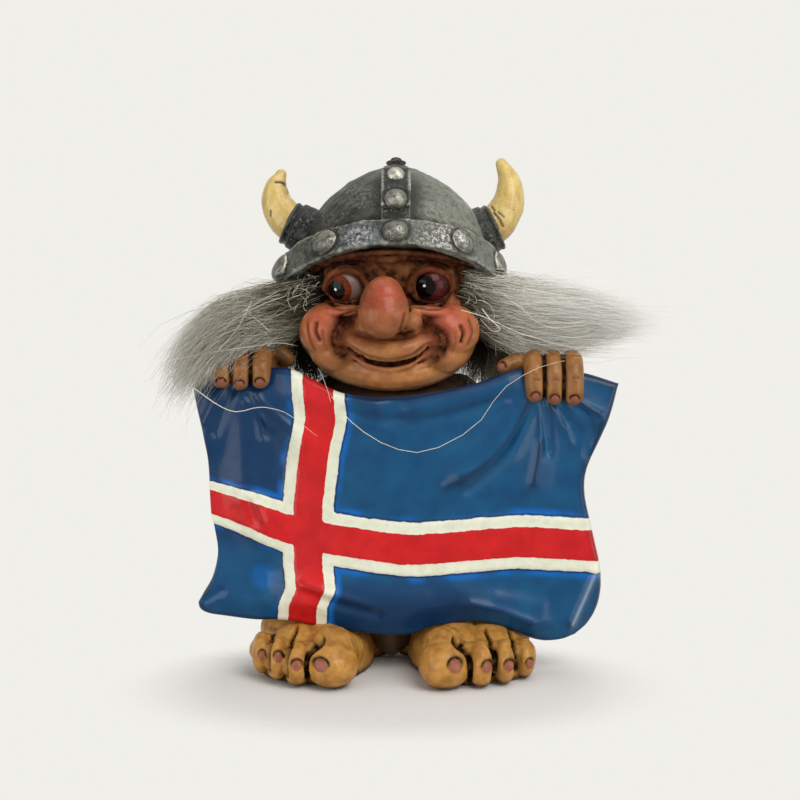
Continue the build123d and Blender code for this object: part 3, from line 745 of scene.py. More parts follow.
def build_hands():
    """Models, carves and paints both hands."""
    for side, sign in (("right", -1), ("left", 1)):
        fingers = HANDS[side]["fingers"]
        hand = form_hand(sign, HANDS[side])
        co, no = points_of(hand), normals_of(hand)
        x, y, z = co.T
        nails = [((middle * 1.004, tip + 1.1), 1.0, 0.9) for middle, tip in fingers]
        plates, lines = nails_of(co, no, (*nails, *HANDS[side]["thumb_nail"]), ease(-9, -12, y))
        dents = most(knuckle_dent(x, z, middle, tip + 4.6 + 0.5 * k)
                     for k, (middle, tip) in enumerate(fingers)) * ease(-14, -16, y)
        gaps = most(bell(x - 0.5 * (a[0] + b[0]), 0.36)
                    for a, b in zip(fingers[:-1], fingers[1:])) * ease(-9.5, -12.5, y)
        thumb = along(co, HANDS[side]["thumb"], 2.4, 12) * ease(26.4, 24.6, np.abs(x))
        push = 0.3 * lines + 0.14 * dents + 0.35 * gaps - 0.08 * plates + 0.05 * wobble(co, size=1.4, seed=11)
        put_points(hand, co - no * push[:, None])
        # Dark nail lines, a dark wash in the knuckle dents, and painted shade between the fingers and on the
        # thumb
        dark = 0.95 * lines + 0.4 * dents + gaps + HANDS[side]["thumb_shade"] * thumb
        paint_limb(hand, f"{side}_hand_paint", dark, plates, HAND_SKIN)
        settle(hand, f"{side}_hand_cast", "skin", f"{side}_hand")


# Body: middle, half sizes and turn of each lump. Toes: middle, half sizes, nail place and nail half sizes.
# Gaps: lines between the toes in the front view
FEET = {
    "right": dict(
        body=(((-13.2, -9.0, 2.0), (8.0, 15.0, 9.4), -16), ((-6.6, 4.0, 2.0), (6.0, 8.0, 8.0), 0),
              ((-20.0, -13.0, 2.0), (8.0, 9.0, 8.4), -16), ((-18.6, -6.0, 7.0), (10.4, 6.5, 7.0), 0)),
        toes=(((-13.0, -24.4, 4.4), (5.3, 5.4, 4.9), (-15.2, 5.5), (1.6, 1.45)),
              ((-20.2, -23.0, 4.2), (2.9, 4.8, 4.6), (-20.1, 5.1), (1.15, 1.2)),
              ((-24.5, -20.2, 4.6), (2.5, 4.8, 4.5), (-24.1, 6.0), (1.0, 1.15)),
              ((-27.9, -16.6, 4.8), (2.1, 4.4, 4.4), (-27.7, 5.3), (0.85, 1.1))),
        web=[(-15.0, -22.4, 4.4), (-20.2, -20.6, 4.4), (-24.2, -18.0, 4.7), (-27.2, -14.8, 4.9)],
        gaps=([(-18.0, 1.5), (-17.9, 6.4), (-14.8, 9.4)], [(-22.3, 2.0), (-22.2, 6.6), (-20.6, 9.8)],
              [(-26.2, 2.4), (-26.1, 7.0), (-24.6, 10.4)])),
    "left": dict(
        body=(((11.4, -9.0, 2.0), (8.0, 15.5, 9.4), 16), ((5.6, 4.0, 2.0), (6.0, 8.0, 8.0), 0),
              ((19.4, -13.0, 2.0), (8.4, 9.0, 8.2), 16), ((18.6, -6.0, 7.0), (10.4, 6.5, 7.0), 0)),
        toes=(((9.9, -24.8, 4.4), (5.2, 5.4, 5.0), (12.0, 5.5), (1.5, 1.6)),
              ((17.5, -23.6, 4.3), (2.9, 4.8, 4.7), (18.6, 4.8), (1.2, 1.35)),
              ((22.3, -21.2, 4.2), (2.6, 4.8, 4.5), (23.1, 4.4), (1.1, 1.3)),
              ((26.7, -17.4, 3.9), (2.3, 4.4, 4.1), (27.6, 3.6), (0.9, 1.15))),
        web=[(12.6, -22.8, 4.4), (17.5, -21.2, 4.4), (22.2, -18.8, 4.3), (26.0, -15.4, 4.1)],
        gaps=([(15.1, 0.8), (14.8, 6.4), (11.8, 9.4)], [(19.8, 1.6), (20.2, 6.2), (18.6, 9.4)],
              [(24.7, 2.0), (24.6, 6.4), (23.6, 9.4)]))}


def form_foot(foot):
    """A foot's clay as one skin: the body, toes that run back into it and the webs between them."""
    clay = Clay()
    for centre, radii, turn in foot["body"]:
        clay.ball(centre, radii, turn)
    heel_x = foot["body"][0][0][0]
    for centre, radii, _, _ in foot["toes"]:
        clay.ball(centre, radii)
        back = (centre[0] * 0.9 + heel_x * 0.1, centre[1] + 6.0, centre[2] + 1.4)
        clay.tube([centre, back], [radii[0] * 0.95, radii[0] * 0.95], count=6)
    clay.tube(foot["web"], [3.9, 3.8, 3.7, 3.4], count=12)
    return clay.skin(in_mm("limb_voxel"), soften=4)


def build_feet():
    """Models, carves and paints both feet."""
    for side, parts in FEET.items():
        foot = form_foot(parts)
        co, no = points_of(foot), normals_of(foot)
        nails = [(place, *half) for _, _, place, half in parts["toes"]]
        plates, lines = nails_of(co, no, nails, ease(-13, -17, co[:, 1]))
        gaps = most(drawn(co, path, 0.34) for path in parts["gaps"]) * ease(-12, -15, co[:, 1])
        uneven = 0.12 * wobble(co, size=1.8, seed=21) + 0.05 * wobble(co, size=0.7, seed=23)
        co = co - no * (0.3 * lines + 1.1 * gaps - 0.1 * plates + uneven)[:, None]
        co[:, 2] = np.maximum(co[:, 2], 0.0)
        put_points(foot, co)
        # Painted shade between the toes and painted shadow near the floor
        near_floor = ease(1.6, 0.1, co[:, 2])
        paint_limb(foot, f"{side}_foot_paint", 0.9 * lines + gaps + 0.8 * near_floor, plates, FOOT_SKIN)
        settle(foot, f"{side}_foot_cast", "skin", f"{side}_foot")


# Body and sleeves

def cloth_paint(name):
    """Brown painted cloth, paler on its high places as painted highlight and dark in its folds with a dark
    wash and painted shade.
    """
    p = Paint(name)
    tone = p.noise(3.0, 5)
    colour = p.mix(p.span(tone, 0.3, 0.7), rgb(54, 36, 24), rgb(86, 58, 36))
    # Painted highlight on the high places and a dark wash with painted shade in the folds
    colour = p.glaze(colour, "high", 0.8, rgb(124, 88, 56))
    colour = p.mix(p.attr("wash_and_shade"), colour, rgb(16, 9, 6))
    weave = p.noise(0.35, 3, 0.6, (1, 1, 2.5))
    p.bump(weave, 0.12)
    return p.finish(colour, p.span(tone, 0.2, 0.8, 0.45, 0.65), coat=0.15, coat_roughness=0.3)


BODY_NODES = ("torso", "left_leg", "right_leg")
# Hanging folds round the body: how many, where they start and how far they stand out
BODY_FOLDS = ((7, 0.4, 0.35), (11, 1.7, 0.25), (17, 2.9, 0.15))
BODY_Y, HEM_Z = 8.0, 14.6
SHOULDER = (13.0, 8.0, 48.6)
SLEEVE_WAY = (13.6, -9.6, 10.8)
SLEEVE_LENGTH = 19.8


def build_body():
    """Dresses the body and arms over their solids and paints them."""
    clay = Clay()
    for node in BODY_NODES:
        clay.copy_node(node)
    # The seat between the legs and the slope of the shoulders
    clay.ball((-1.0, -1.5, 8.0), (6.5, 6.0, 7.4))
    clay.ball((0, 2.0, 56.0), (15.0, 11.0, 5.0))
    body = clay.skin(in_mm("cloth_voxel"), soften=8)
    co, no = points_of(body), normals_of(body)
    x, y, z = co.T
    angle = np.arctan2(y - BODY_Y, x)
    folds = np.zeros(len(co))
    for k, (turns, phase, size) in enumerate(BODY_FOLDS):
        folds += size * np.sin(turns * angle + phase + 0.05 * (k + 1) * z) * ease(50, 20, z)
    hem = bell(z - HEM_Z, 0.6)
    put_points(body, co + no * (folds - 0.5 * hem)[:, None])
    # The hem's groove takes the dark wash and painted shade too
    relief_masks(body, rounds=16, sunk=(0.03, 0.35), proud=(0.06, 0.4), extra=hem)
    wear_paint(body, cloth_paint("tunic_paint"))
    settle(body, "body_cast", "tunic", *BODY_NODES)
    for side, sign in (("left", 1), ("right", -1)):
        clay = Clay()
        clay.copy_node(f"{side}_arm")
        # The sleeve's round shoulder
        clay.ball((sign * 13.0, 6.0, 54.6), (6.2, 6.0, 5.6))
        arm = clay.skin(in_mm("cloth_voxel"), soften=5)
        co, no = points_of(arm), normals_of(arm)
        mirror = np.array((sign, 1, 1))
        down_sleeve = (co - SHOULDER * mirror) @ (SLEEVE_WAY * mirror / SLEEVE_LENGTH)
        uneven = 1.5 * wobble(co, size=6, seed=31)
        folds = 0.34 * np.sin(1.1 * down_sleeve + uneven) * ease(16, 12, down_sleeve)
        put_points(arm, co + no * folds[:, None])
        relief_masks(arm, rounds=12, sunk=(0.03, 0.3), proud=(0.05, 0.35))
        wear_paint(arm, cloth_paint(f"{side}_sleeve_paint"))
        settle(arm, f"{side}_arm_cast", "tunic", f"{side}_arm")


# Flag

# Its edges and the middles of the cross's post and bar, in the front view
FLAG_TOP = [(-42.0, 60.5), (-40.3, 62.6), (-32.1, 63.4), (-22.8, 64.2), (-16.7, 61.9), (-10.5, 59.2),
            (0.0, 58.4), (15.3, 60.9), (24.5, 63.8), (31.7, 63.4), (38.5, 63.0), (46.0, 60.7)]
FLAG_FOOT = [(-41.6, 14.2), (-41.2, 12.8), (-39.4, 11.8), (-35.2, 11.2), (-29.5, 10.6), (-22.2, 10.6),
             (-9.6, 8.6), (1.9, 8.0), (7.1, 9.7), (15.5, 10.6), (21.8, 9.5), (29.1, 6.5), (33.3, 6.1),
             (37.7, 7.1)]
FLAG_RIGHT = [(-42.0, 60.5), (-41.1, 55.6), (-40.0, 51.0), (-39.0, 44.7), (-38.5, 34.2), (-37.9, 31.0),
              (-37.2, 25.6), (-38.3, 20.3), (-40.4, 16.4), (-41.6, 14.2)]
FLAG_LEFT = [(46.0, 60.7), (44.6, 55.3), (42.2, 49.0), (39.6, 42.7), (39.3, 37.4), (40.9, 30.0),
             (42.9, 20.8), (42.8, 14.6), (40.7, 9.7), (37.7, 7.1)]
POST = [(-16.0, 61.2), (-15.4, 53.7), (-17.0, 46.0), (-18.1, 36.1), (-18.2, 28.5), (-18.2, 23.0),
        (-17.7, 18.3), (-19.4, 14.3), (-19.8, 8.0)]
BAR = [(-43.0, 37.5), (-38.0, 36.1), (-29.8, 33.6), (-23.0, 30.9), (-13.0, 28.7), (0.8, 26.8), (4.8, 26.7),
       (17.7, 27.5), (25.3, 27.9), (41.1, 26.8), (46.0, 26.6)]
# Half widths of the post by height and of the bar by place across, with their white edging
POST_HALF = ([8, 20, 62], [5.2, 5.3, 5.5])
BAR_HALF = ([-40, -28, -18, 45], [4.3, 5.2, 5.7, 5.8])
# Depth of the flag's sides, how much further forward its middle stands and over what width
FLAG_Y, FLAG_BULGE, BULGE_WIDTH = -12.0, 3.6, 26.0
# About how wide and tall the flag is, for its rounded rim, and half its thickness
FLAG_WIDTH, FLAG_DROP, FLAG_HALF = 84, 50, 1.2
FOLD_DEPTH, FOLD_WIDTH = 1.3, 3.4
# Where the lower left corner turns back
TURNED_EDGE = [(41.8, 21.4), (39.6, 16.0), (37.0, 10.0)]
TURNED_LENGTH, TURNED_SLOPE = 12.4, 0.55
# Ridges of the main folds, as in the solid
MAIN_FOLDS = (
    ((28.0, 58.0), (14.0, 42.0)), ((31.6, 56.0), (28.6, 40.0)), ((37.0, 57.5), (42.5, 53.0)),
    ((23.0, 60.5), (4.0, 55.5)), ((-21.0, 60.0), (-5.0, 55.5)), ((-26.5, 57.5), (-19.5, 49.0)),
    ((-31.5, 57.5), (-31.5, 42.0)), ((-36.5, 57.0), (-39.5, 49.0)), ((-30.5, 36.5), (-27.5, 29.5)),
    ((-18.5, 17.5), (6.0, 15.5)), ((13.0, 16.5), (29.0, 10.5)))
# Sharper lines in the cast: a path, how far it stands out (or sinks in) and its half width
FINE_FOLDS = (
    ([(27.3, 57.6), (24.6, 51.6), (21.9, 47.9), (17.6, 43.9), (10.4, 40.0)], 0.55, 0.9),
    ([(28.8, 57.0), (26.4, 50.8), (24.1, 46.1), (20.4, 42.4), (15.2, 38.8)], -0.7, 1.3),
    ([(30.1, 57.4), (30.8, 52.0), (31.3, 46.6)], -1.0, 0.8),
    ([(29.7, 48.5), (28.4, 40.5)], 0.55, 0.9),
    ([(32.9, 57.0), (35.2, 52.8)], -0.8, 0.8),
    ([(33.6, 55.5), (36.0, 48.5)], 0.5, 0.9),
    ([(37.6, 57.0), (41.9, 54.7)], 0.5, 0.8),
    ([(36.6, 57.0), (40.0, 52.4), (39.6, 46.0)], -0.6, 1.0),
    ([(22.0, 57.6), (8.0, 54.0), (-3.0, 53.6), (-10.0, 55.4)], -0.8, 1.5),
    ([(22.6, 55.4), (17.2, 49.2), (12.0, 46.4)], 0.5, 2.4),
    ([(-36.1, 60.0), (-39.5, 53.1)], 0.5, 0.9),
    ([(-33.7, 59.6), (-35.6, 55.0), (-37.2, 50.6)], -0.7, 0.9),
    ([(-30.5, 57.4), (-25.4, 51.9)], 0.5, 0.8),
    ([(-28.6, 59.2), (-27.0, 56.6), (-21.5, 52.0)], 0.5, 0.8),
    ([(-30.2, 58.0), (-28.4, 54.6), (-27.6, 50.0)], -0.6, 0.9),
    ([(-29.2, 37.2), (-27.5, 32.6)], 0.6, 0.7),
    ([(-30.8, 36.6), (-29.4, 32.4)], -0.5, 0.9),
    ([(-27.0, 21.2), (-27.0, 19.4)], -1.0, 2.1),
    ([(-19.4, 19.2), (-12.1, 17.0), (-5.1, 14.8)], 0.55, 0.9),
    ([(-19.0, 17.2), (-11.6, 15.0), (-4.0, 13.0)], -0.6, 1.2),
    ([(15.6, 15.1), (22.0, 13.4), (28.2, 10.7)], 0.5, 1.0),
    ([(21.5, 16.3), (30.1, 14.6)], 0.4, 1.6),
    (TURNED_EDGE, 0.9, 0.8),
    ([(-40.0, 15.0), (-36.6, 17.0)], -0.5, 0.9))
HEM_TUCK, HEM_HEIGHT = 1.1, 5.0
CROWDING = 0.0495


def even(path, count):
    """A smooth line through places, spaced evenly by length."""
    line = through(path, 400)
    run = np.concatenate([[0], np.cumsum(np.linalg.norm(np.diff(line, axis=0), axis=1))])
    at = np.linspace(0, run[-1], count)
    return np.stack([np.interp(at, run, line[:, 0]), np.interp(at, run, line[:, 1])], 1)


def flag_form(x, z):
    """Depth of the flag's middle and its folds at places in the front view."""
    y = FLAG_Y - FLAG_BULGE * np.exp(-(x / BULGE_WIDTH) ** 2)
    places = np.stack([x.ravel(), z.ravel()], 1)
    for path in MAIN_FOLDS:
        y -= FOLD_DEPTH * bell(near(places, path), FOLD_WIDTH).reshape(x.shape)
    for path, height, width in FINE_FOLDS:
        y -= settings().fold_depth * height * along(places, path, width).reshape(x.shape)
    # Past the turned edge the lower left corner goes back, and the hem tucks in towards the feet
    (top_x, top_z), (foot_x, foot_z) = TURNED_EDGE[0], TURNED_EDGE[-1]
    past = ((x - foot_x) * (top_z - foot_z) - (z - foot_z) * (top_x - foot_x)) / TURNED_LENGTH
    y += TURNED_SLOPE * np.maximum(0, past) * ease(23, 19, z)
    y += HEM_TUCK * ease(HEM_HEIGHT, 0.0, z - np.interp(x, *zip(*FLAG_FOOT)))
    return y


def crowded(count):
    """Steps from 0 to 1 that crowd a little towards both ends."""
    t = np.linspace(0, 1, count)
    return t - CROWDING * np.sin(2 * math.pi * t)


def flag_grid():
    """Rows of places in the front view that fill the flag's edges, with their shares across and down."""
    across, down = crowded(settings().flag_columns), crowded(settings().flag_rows)
    steps = np.linspace(0, 1, 600)
    top, foot, right, left = (even(path, len(steps)) for path in (FLAG_TOP, FLAG_FOOT, FLAG_RIGHT, FLAG_LEFT))

    def at(line, share):
        return np.stack([np.interp(share, steps, line[:, 0]), np.interp(share, steps, line[:, 1])], -1)

    u, v = across[None, :, None], down[:, None, None]
    grid = ((1 - v) * at(top, across)[None] + v * at(foot, across)[None]
            + (1 - u) * at(right, down)[:, None] + u * at(left, down)[:, None]
            - ((1 - u) * (1 - v) * top[0] + u * (1 - v) * top[-1] + (1 - u) * v * foot[0] + u * v * foot[-1]))
    return grid[..., 0], grid[..., 1], u[..., 0], v[..., 0]


def cross_of(x, z):
    """How far off the cross each place lies, as a share of the cross's half width."""
    post_x = np.interp(-z, [-p[1] for p in POST], [p[0] for p in POST])
    post = np.abs(x - post_x) / np.interp(z, *POST_HALF)
    bar = np.abs(z - np.interp(x, *zip(*BAR))) / np.interp(x, *BAR_HALF)
    return np.minimum(post, bar)


def flag_paint():
    """A blue flag with a red cross edged in white, brushed on a little unsteadily, and blue behind."""
    p = Paint("flag_paint")
    shaky = p.times(p.sum(p.noise(3.0, 2), 0.5, "SUBTRACT"), 0.10)
    fine = p.times(p.sum(p.noise(0.9, 2), 0.5, "SUBTRACT"), 0.05)
    d = p.sum(p.sum(p.attr("cross"), shaky), fine)
    tone = p.noise(5.0, 4)
    blue = p.mix(p.span(tone, 0.2, 0.8), rgb(3, 59, 99), rgb(11, 75, 113))
    # Painted highlight on the fold ridges, and a dark wash with painted shade in the valleys
    blue = p.glaze(blue, "high", 0.4, rgb(38, 98, 134))
    blue = p.glaze(blue, "wash_and_shade", 0.7, rgb(8, 26, 56))
    # Painted shade on the flag's left side and its low middle
    blue = p.mix(p.times(p.span(p.attr("shade"), 0, 1), 0.75), blue, rgb(2, 36, 72))
    glow = p.times(p.span(d, 1.36, 1.08), p.span(p.noise(9.0, 2), 0.35, 0.6))
    # A painted highlight over the dent below the bar
    glow = p.sum(glow, p.span(p.attr("cobalt"), 0.2, 0.75, 0.0, 0.5), "MAXIMUM")
    blue = p.mix(glow, blue, rgb(0, 92, 168))
    blue = p.mix(p.times(p.span(d, 1.08, 1.03), 0.8), blue, rgb(6, 30, 82))
    # Painted highlight along the turned edge
    blue = p.glaze(blue, "turned_edge_highlight", 0.7, rgb(150, 180, 200))
    red = p.mix(p.span(tone, 0.3, 0.7), rgb(178, 18, 22), rgb(198, 28, 30))
    # Dark wash with painted shade in the red's valleys
    red = p.glaze(red, "wash_and_shade", 0.4, rgb(120, 12, 16))
    white = p.mix(p.span(p.noise(1.6, 4), 0.35, 0.75), rgb(218, 219, 198), rgb(206, 207, 184))
    colour = p.mix(p.span(d, 0.965, 1.0), white, blue)
    colour = p.mix(p.span(d, 0.548, 0.575), red, colour)
    colour = p.mix(p.attr("behind"), colour, blue)
    p.bump(p.noise(2.4, 4), 0.07)
    rough = p.span(p.noise(3.0, 4), 0.2, 0.8, 0.26, 0.44)
    return p.finish(colour, rough, coat=0.12, coat_roughness=0.1, ior=1.28)


def build_flag():
    """Models the folded flag as a sheet with a rounded rim and paints it."""
    x, z, across, down = flag_grid()
    cross = cross_of(x, z)
    raised = ease(1.03, 0.93, cross) + 0.35 * ease(0.60, 0.52, cross) - 0.25 * bell(cross - 0.57, 0.035)
    y = flag_form(x, z) - in_mm("cross_relief") * raised

    # Half thickness falls to nothing at the rim, so the front and back meet in a round edge
    edge = np.minimum(FLAG_WIDTH * np.minimum(across, 1 - across), FLAG_DROP * np.minimum(down, 1 - down))
    half = FLAG_HALF * np.sqrt(1 - (1 - np.clip(edge / FLAG_HALF, 0, 1)) ** 2)
    front = np.stack([x, y - half, z], -1).reshape(-1, 3)
    back = np.stack([x, y + half, z], -1).reshape(-1, 3)
    inside = np.zeros(x.shape, bool)
    inside[1:-1, 1:-1] = True
    kept = inside.ravel()
    front_index = np.arange(x.size).reshape(x.shape)
    back_index = front_index.copy()
    back_index[inside] = x.size + np.arange(kept.sum())

    def quads(index):
        corners = (index[:-1, :-1], index[1:, :-1], index[1:, 1:], index[:-1, 1:])
        return np.stack([corner.ravel() for corner in corners], 1)

    faces = np.vstack([quads(front_index), quads(back_index)[:, [0, 3, 2, 1]]])
    flag = lone(mesh_of("flag_cast", np.vstack([front, back[kept]]), faces.tolist()))
    bpy.ops.object.mode_set(mode="EDIT")
    bpy.ops.mesh.select_all(action="SELECT")
    bpy.ops.mesh.normals_make_consistent(inside=False)
    bpy.ops.object.mode_set(mode="OBJECT")

    def on_both(name, field):
        mask(flag, name, np.concatenate([field.ravel(), field.ravel()[kept]]))

    # Painted shade on the flag's left side and its low middle
    lower_shade = ease(24, 15, z) * ease(26, 10, x) * ease(-17, -12, x)
    on_both("cross", cross)
    # Painted highlight over the dent below the bar
    on_both("cobalt", bell(np.hypot(x + 27.4, z - 20.6), 3.0))
    on_both("shade", ease(-16, -26, x) * ease(24, 31, z) + lower_shade)
    # Painted highlight along the turned edge
    on_both("turned_edge_highlight", along(np.stack([x.ravel(), z.ravel()], 1), TURNED_EDGE, 0.32))
    mask(flag, "behind", np.concatenate([np.zeros(x.size), np.ones(kept.sum())]))
    relief_masks(flag, rounds=40, sunk=(0.02, 0.5), proud=(0.02, 0.5))
    wear_paint(flag, flag_paint())
    settle(flag, "flag_cast", "flag", "flag")


# Helmet and horns

# Old metal that the pieces are painted as: the base, its paler blotches and its bright rubbed places.
# Polish is how metallic a piece is all over, and gloss its clear coat
BOWL_METAL = dict(base=rgb(18, 21, 16), light=rgb(50, 53, 45), bright=rgb(166, 166, 152))
BAND_METAL = dict(base=rgb(30, 33, 27), light=rgb(84, 87, 76), bright=rgb(166, 166, 152))
STRAP_METAL = dict(base=rgb(14, 16, 12), light=rgb(38, 40, 34), bright=rgb(176, 178, 164))
STUD_METAL = dict(base=rgb(70, 70, 64), light=rgb(112, 112, 104), bright=rgb(206, 204, 190), polish=0.8)
COLLAR_METAL = dict(base=rgb(10, 11, 9), light=rgb(24, 25, 22), bright=rgb(140, 140, 130), gloss=0.2)
# LIT_GREY is painted light on each piece's lit side
LIT_GREY, COLD_GREY, BLOOM_GREY = rgb(126, 128, 116), rgb(122, 126, 140), rgb(206, 202, 198)
PIT_BLACK, WASH_AND_SHADE_BLACK = rgb(12, 11, 9), rgb(13, 11, 8)
RUBBED_METAL = 0.3
POLISHED_ROUGH, DULL_ROUGH = (0.16, 0.32), (0.28, 0.48)


def metal_paint(name, base, light, bright, gloss=0.05, polish=None):
    """Resin painted as old metal: dark base, dry-brushed high places, pale corrosion and pits, with painted
    light paling its lit side and a dark wash with painted shade in its hollows and shaded places.
    """
    p = Paint(name)
    tone = p.noise(2.2, 5, 0.62)
    colour = p.mix(p.span(tone, 0.32, 0.68), base, light)
    # Painted light: paler towards the lit side
    colour = p.glaze(colour, "lit", p.span(p.noise(1.4, 4), 0.3, 0.6, 0.5, 1.0), LIT_GREY)
    scratch = p.span(p.noise(0.45, 6, 0.7, (1, 1, 0.5)), 0.56, 0.66)
    patchy = p.span(p.noise(3.6), 0.40, 0.62)
    colour = p.mix(p.times(p.times(scratch, patchy), 0.6), colour, bright)
    rub = p.times(p.attr("high"), p.span(p.noise(0.8, 4), 0.25, 0.7, 0.35, 1.0))
    colour = p.mix(rub, colour, bright)
    colour = p.glaze(colour, "cold", p.span(p.noise(0.8, 5, 0.7), 0.45, 0.56), COLD_GREY)
    colour = p.glaze(colour, "bloom", p.span(p.noise(0.75, 5, 0.7), 0.5, 0.57), BLOOM_GREY)
    pits = p.span(p.noise(0.5), 0.38, 0.30)
    colour = p.mix(p.times(pits, 0.75), colour, PIT_BLACK)
    # Dark wash with painted shade
    colour = p.mix(p.attr("wash_and_shade"), colour, WASH_AND_SHADE_BLACK)
    p.bump(p.sum(p.noise(0.8, 6, 0.65), p.times(pits, -0.6)), 0.18)
    rough = p.span(tone, 0.25, 0.75, *(POLISHED_ROUGH if polish else DULL_ROUGH))
    metal = polish or p.times(rub, RUBBED_METAL)
    return p.finish(colour, rough, coat=gloss, coat_roughness=0.1, ior=1.2, metallic=metal)


HELMET_TILT = math.radians(17)
HELMET_BASE = np.array((0, 4.0, 82.0))
HELMET_UP = np.array((0, math.sin(HELMET_TILT), math.cos(HELMET_TILT)))
BRIM_R = 24.0
FRONT_LIFT = 0.8
# How far the brim's sides hang and lean, and how much further the right one does
HANG, RIGHT_HANG, LEAN, RIGHT_LEAN = 3.4, 0.9, 1.0, 0.8


def rise_of(co):
    """Height of points above the brim, along the helmet's axis."""
    return (co - HELMET_BASE) @ HELMET_UP


def droop(co):
    """Bends the helmet's lower part: its sides hang and lean right, and its front lifts."""
    rise, out = rise_of(co), co.copy()
    on_right = np.where(co[:, 0] < 0, 1, 0)
    reach = np.abs(co[:, 0]) / BRIM_R
    low = ease(15, 3, rise)
    out[:, 2] += FRONT_LIFT * ease(6.8, 0, rise) * ease(1, 0.3, reach) * ease(4, -6, co[:, 1])
    out[:, 2] -= low * (HANG + RIGHT_HANG * on_right) * reach ** 2.2
    out[:, 0] -= low * (LEAN + RIGHT_LEAN * on_right) * reach ** 2
    return out


def outward_of(co):
    """Directions from the middle of the helmet's brim to points."""
    away = co - HELMET_BASE
    return away / np.linalg.norm(away, axis=1)[:, None]


# The strap's half width inside its rim, how much wider it is than its solid and the heights where it ends
STRAP_EDGE, STRAP_WIDER, STRAP_END = 2.5, 1.02, (19.6, 22.0)
# The height that parts the strap's upper rivet from the lower ones, and how far they nod, in degrees
UPPER_RIVET_RISE, UPPER_NOD, LOWER_NOD = 17, 10.0, 3.0
FINIAL_WIDER, FINIAL_FLATTER = 1.15, 0.35


def shape_helmet(node, co, no):
    """What each helmet piece has besides its solid's form."""
    rise, outward = rise_of(co), outward_of(co)
    if node == "helmet_strap":
        # The plate stands proud, ends in a step above the band, has a raised rim and a rounded upper end
        rim = bell(np.abs(co[:, 0]) - STRAP_EDGE, 0.45)
        proud = (0.55 + 0.3 * rim) * ease(9.2, 9.8, rise) * ease(0.1, 0.6, (outward * no).sum(1))
        co = co * (STRAP_WIDER, 1, 1) + outward * (proud - ease(*STRAP_END, rise))[:, None]
        co[:, 2] -= 1.3 * np.clip(np.abs(co[:, 0]) / 3.3, 0, 1.1) ** 4 * ease(19, 22, rise)
    if node == "helmet_finial":
        # A low boss, wider and flatter than the turned solid
        axis = HELMET_BASE + np.outer(rise, HELMET_UP)
        co = axis + FINIAL_WIDER * (co - axis) - np.outer(FINIAL_FLATTER * (rise - rise.min()), HELMET_UP)
    if node == "band_studs":
        co = co + 0.45 * no
    if node == "strap_studs":
        lower = ease(18, 15, rise)[:, None]
        co = co + (0.5 * lower - 0.1) * outward + 0.35 * lower * no
        nod = np.radians(np.where(rise > UPPER_RIVET_RISE, UPPER_NOD, LOWER_NOD))
        _, y, z = (co - HELMET_BASE).T
        co[:, 1] += y * (np.cos(nod) - 1) - z * np.sin(nod)
        co[:, 2] += z * (np.cos(nod) - 1) + y * np.sin(nod)
    return droop(co)


# Each horn socket's mouth: its middle, the way it faces and its radius
COLLARS = {"right_horn_socket": ((-22.6, 5.3, 92.9), (-0.894, 0.06, 0.447), 4.3),
           "left_horn_socket": ((20.9, 5.3, 92.0), (0.907, 0.06, 0.42), 4.7)}
COLLAR_DEPTH, COLLAR_FLARE, COLLAR_SIDES = 7.0, 0.6, 48
BEAD_R = 0.5


def collar(clay, mouth, facing, radius):
    """A cone that rises out of the bowl, with a step and a bead round its mouth."""
    facing = Vector(facing).normalized()
    turn = facing.to_track_quat("Z", "Y").to_euler()
    for wide, back in ((0.75, 1.2), (0.25, 0.0)):
        middle = Vector(mouth) - facing * (back + COLLAR_DEPTH / 2)
        bpy.ops.mesh.primitive_cone_add(
            vertices=COLLAR_SIDES, radius1=radius + wide + COLLAR_FLARE, radius2=radius + wide,
            depth=COLLAR_DEPTH, location=middle, rotation=turn)
        clay.lumps.append(bpy.context.object)
    bpy.ops.mesh.primitive_torus_add(location=mouth, rotation=turn, major_radius=radius, minor_radius=BEAD_R)
    clay.lumps.append(bpy.context.object)


def rivet_gap(co):
    """Distance from each point to the nearest rivet."""
    heads = np.vstack([points_of(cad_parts[node]) for node in ("band_studs", "strap_studs")]) / MM
    tree = KDTree(len(heads))
    for index, place in enumerate(heads):
        tree.insert(place, index)
    tree.balance()
    return np.array([tree.find(place)[2] for place in co])


# Pieces: grain, rounds of softening, depth of the dents, how far painted light pales the paint towards the
# left, metal
HELMET_PIECES = {
    "helmet_bowl": (0.45, 3, 0.16, 0.95, BOWL_METAL), "helmet_band": (0.34, 3, 0.16, 0.6, BAND_METAL),
    "helmet_strap": (0.24, 2, 0.06, 0.1, STRAP_METAL), "helmet_finial": (0.13, 9, 0.0, 0.0, COLLAR_METAL),
    "band_studs": (0.16, 3, 0.1, 0.5, STUD_METAL), "strap_studs": (0.14, 3, 0.08, 0.4, STUD_METAL),
    "left_horn_socket": (0.22, 2, 0.08, 0.1, COLLAR_METAL),
    "right_horn_socket": (0.22, 2, 0.08, 0.1, COLLAR_METAL)}
# Worn spots on the helmet's front: middle and half sizes in the front view
PALE_SPOT = ((9.4, 90.6), (4.4, 2.8))
COLD_SPOT = ((-6.6, 91.6), (4.0, 2.2))


def worn_spot(co, middle, half):
    """Strength of an oval spot on the helmet's front."""
    off = np.hypot((co[:, 0] - middle[0]) / half[0], (co[:, 2] - middle[1]) / half[1])
    return bell(off, 1.0) * ease(0, -8, co[:, 1])


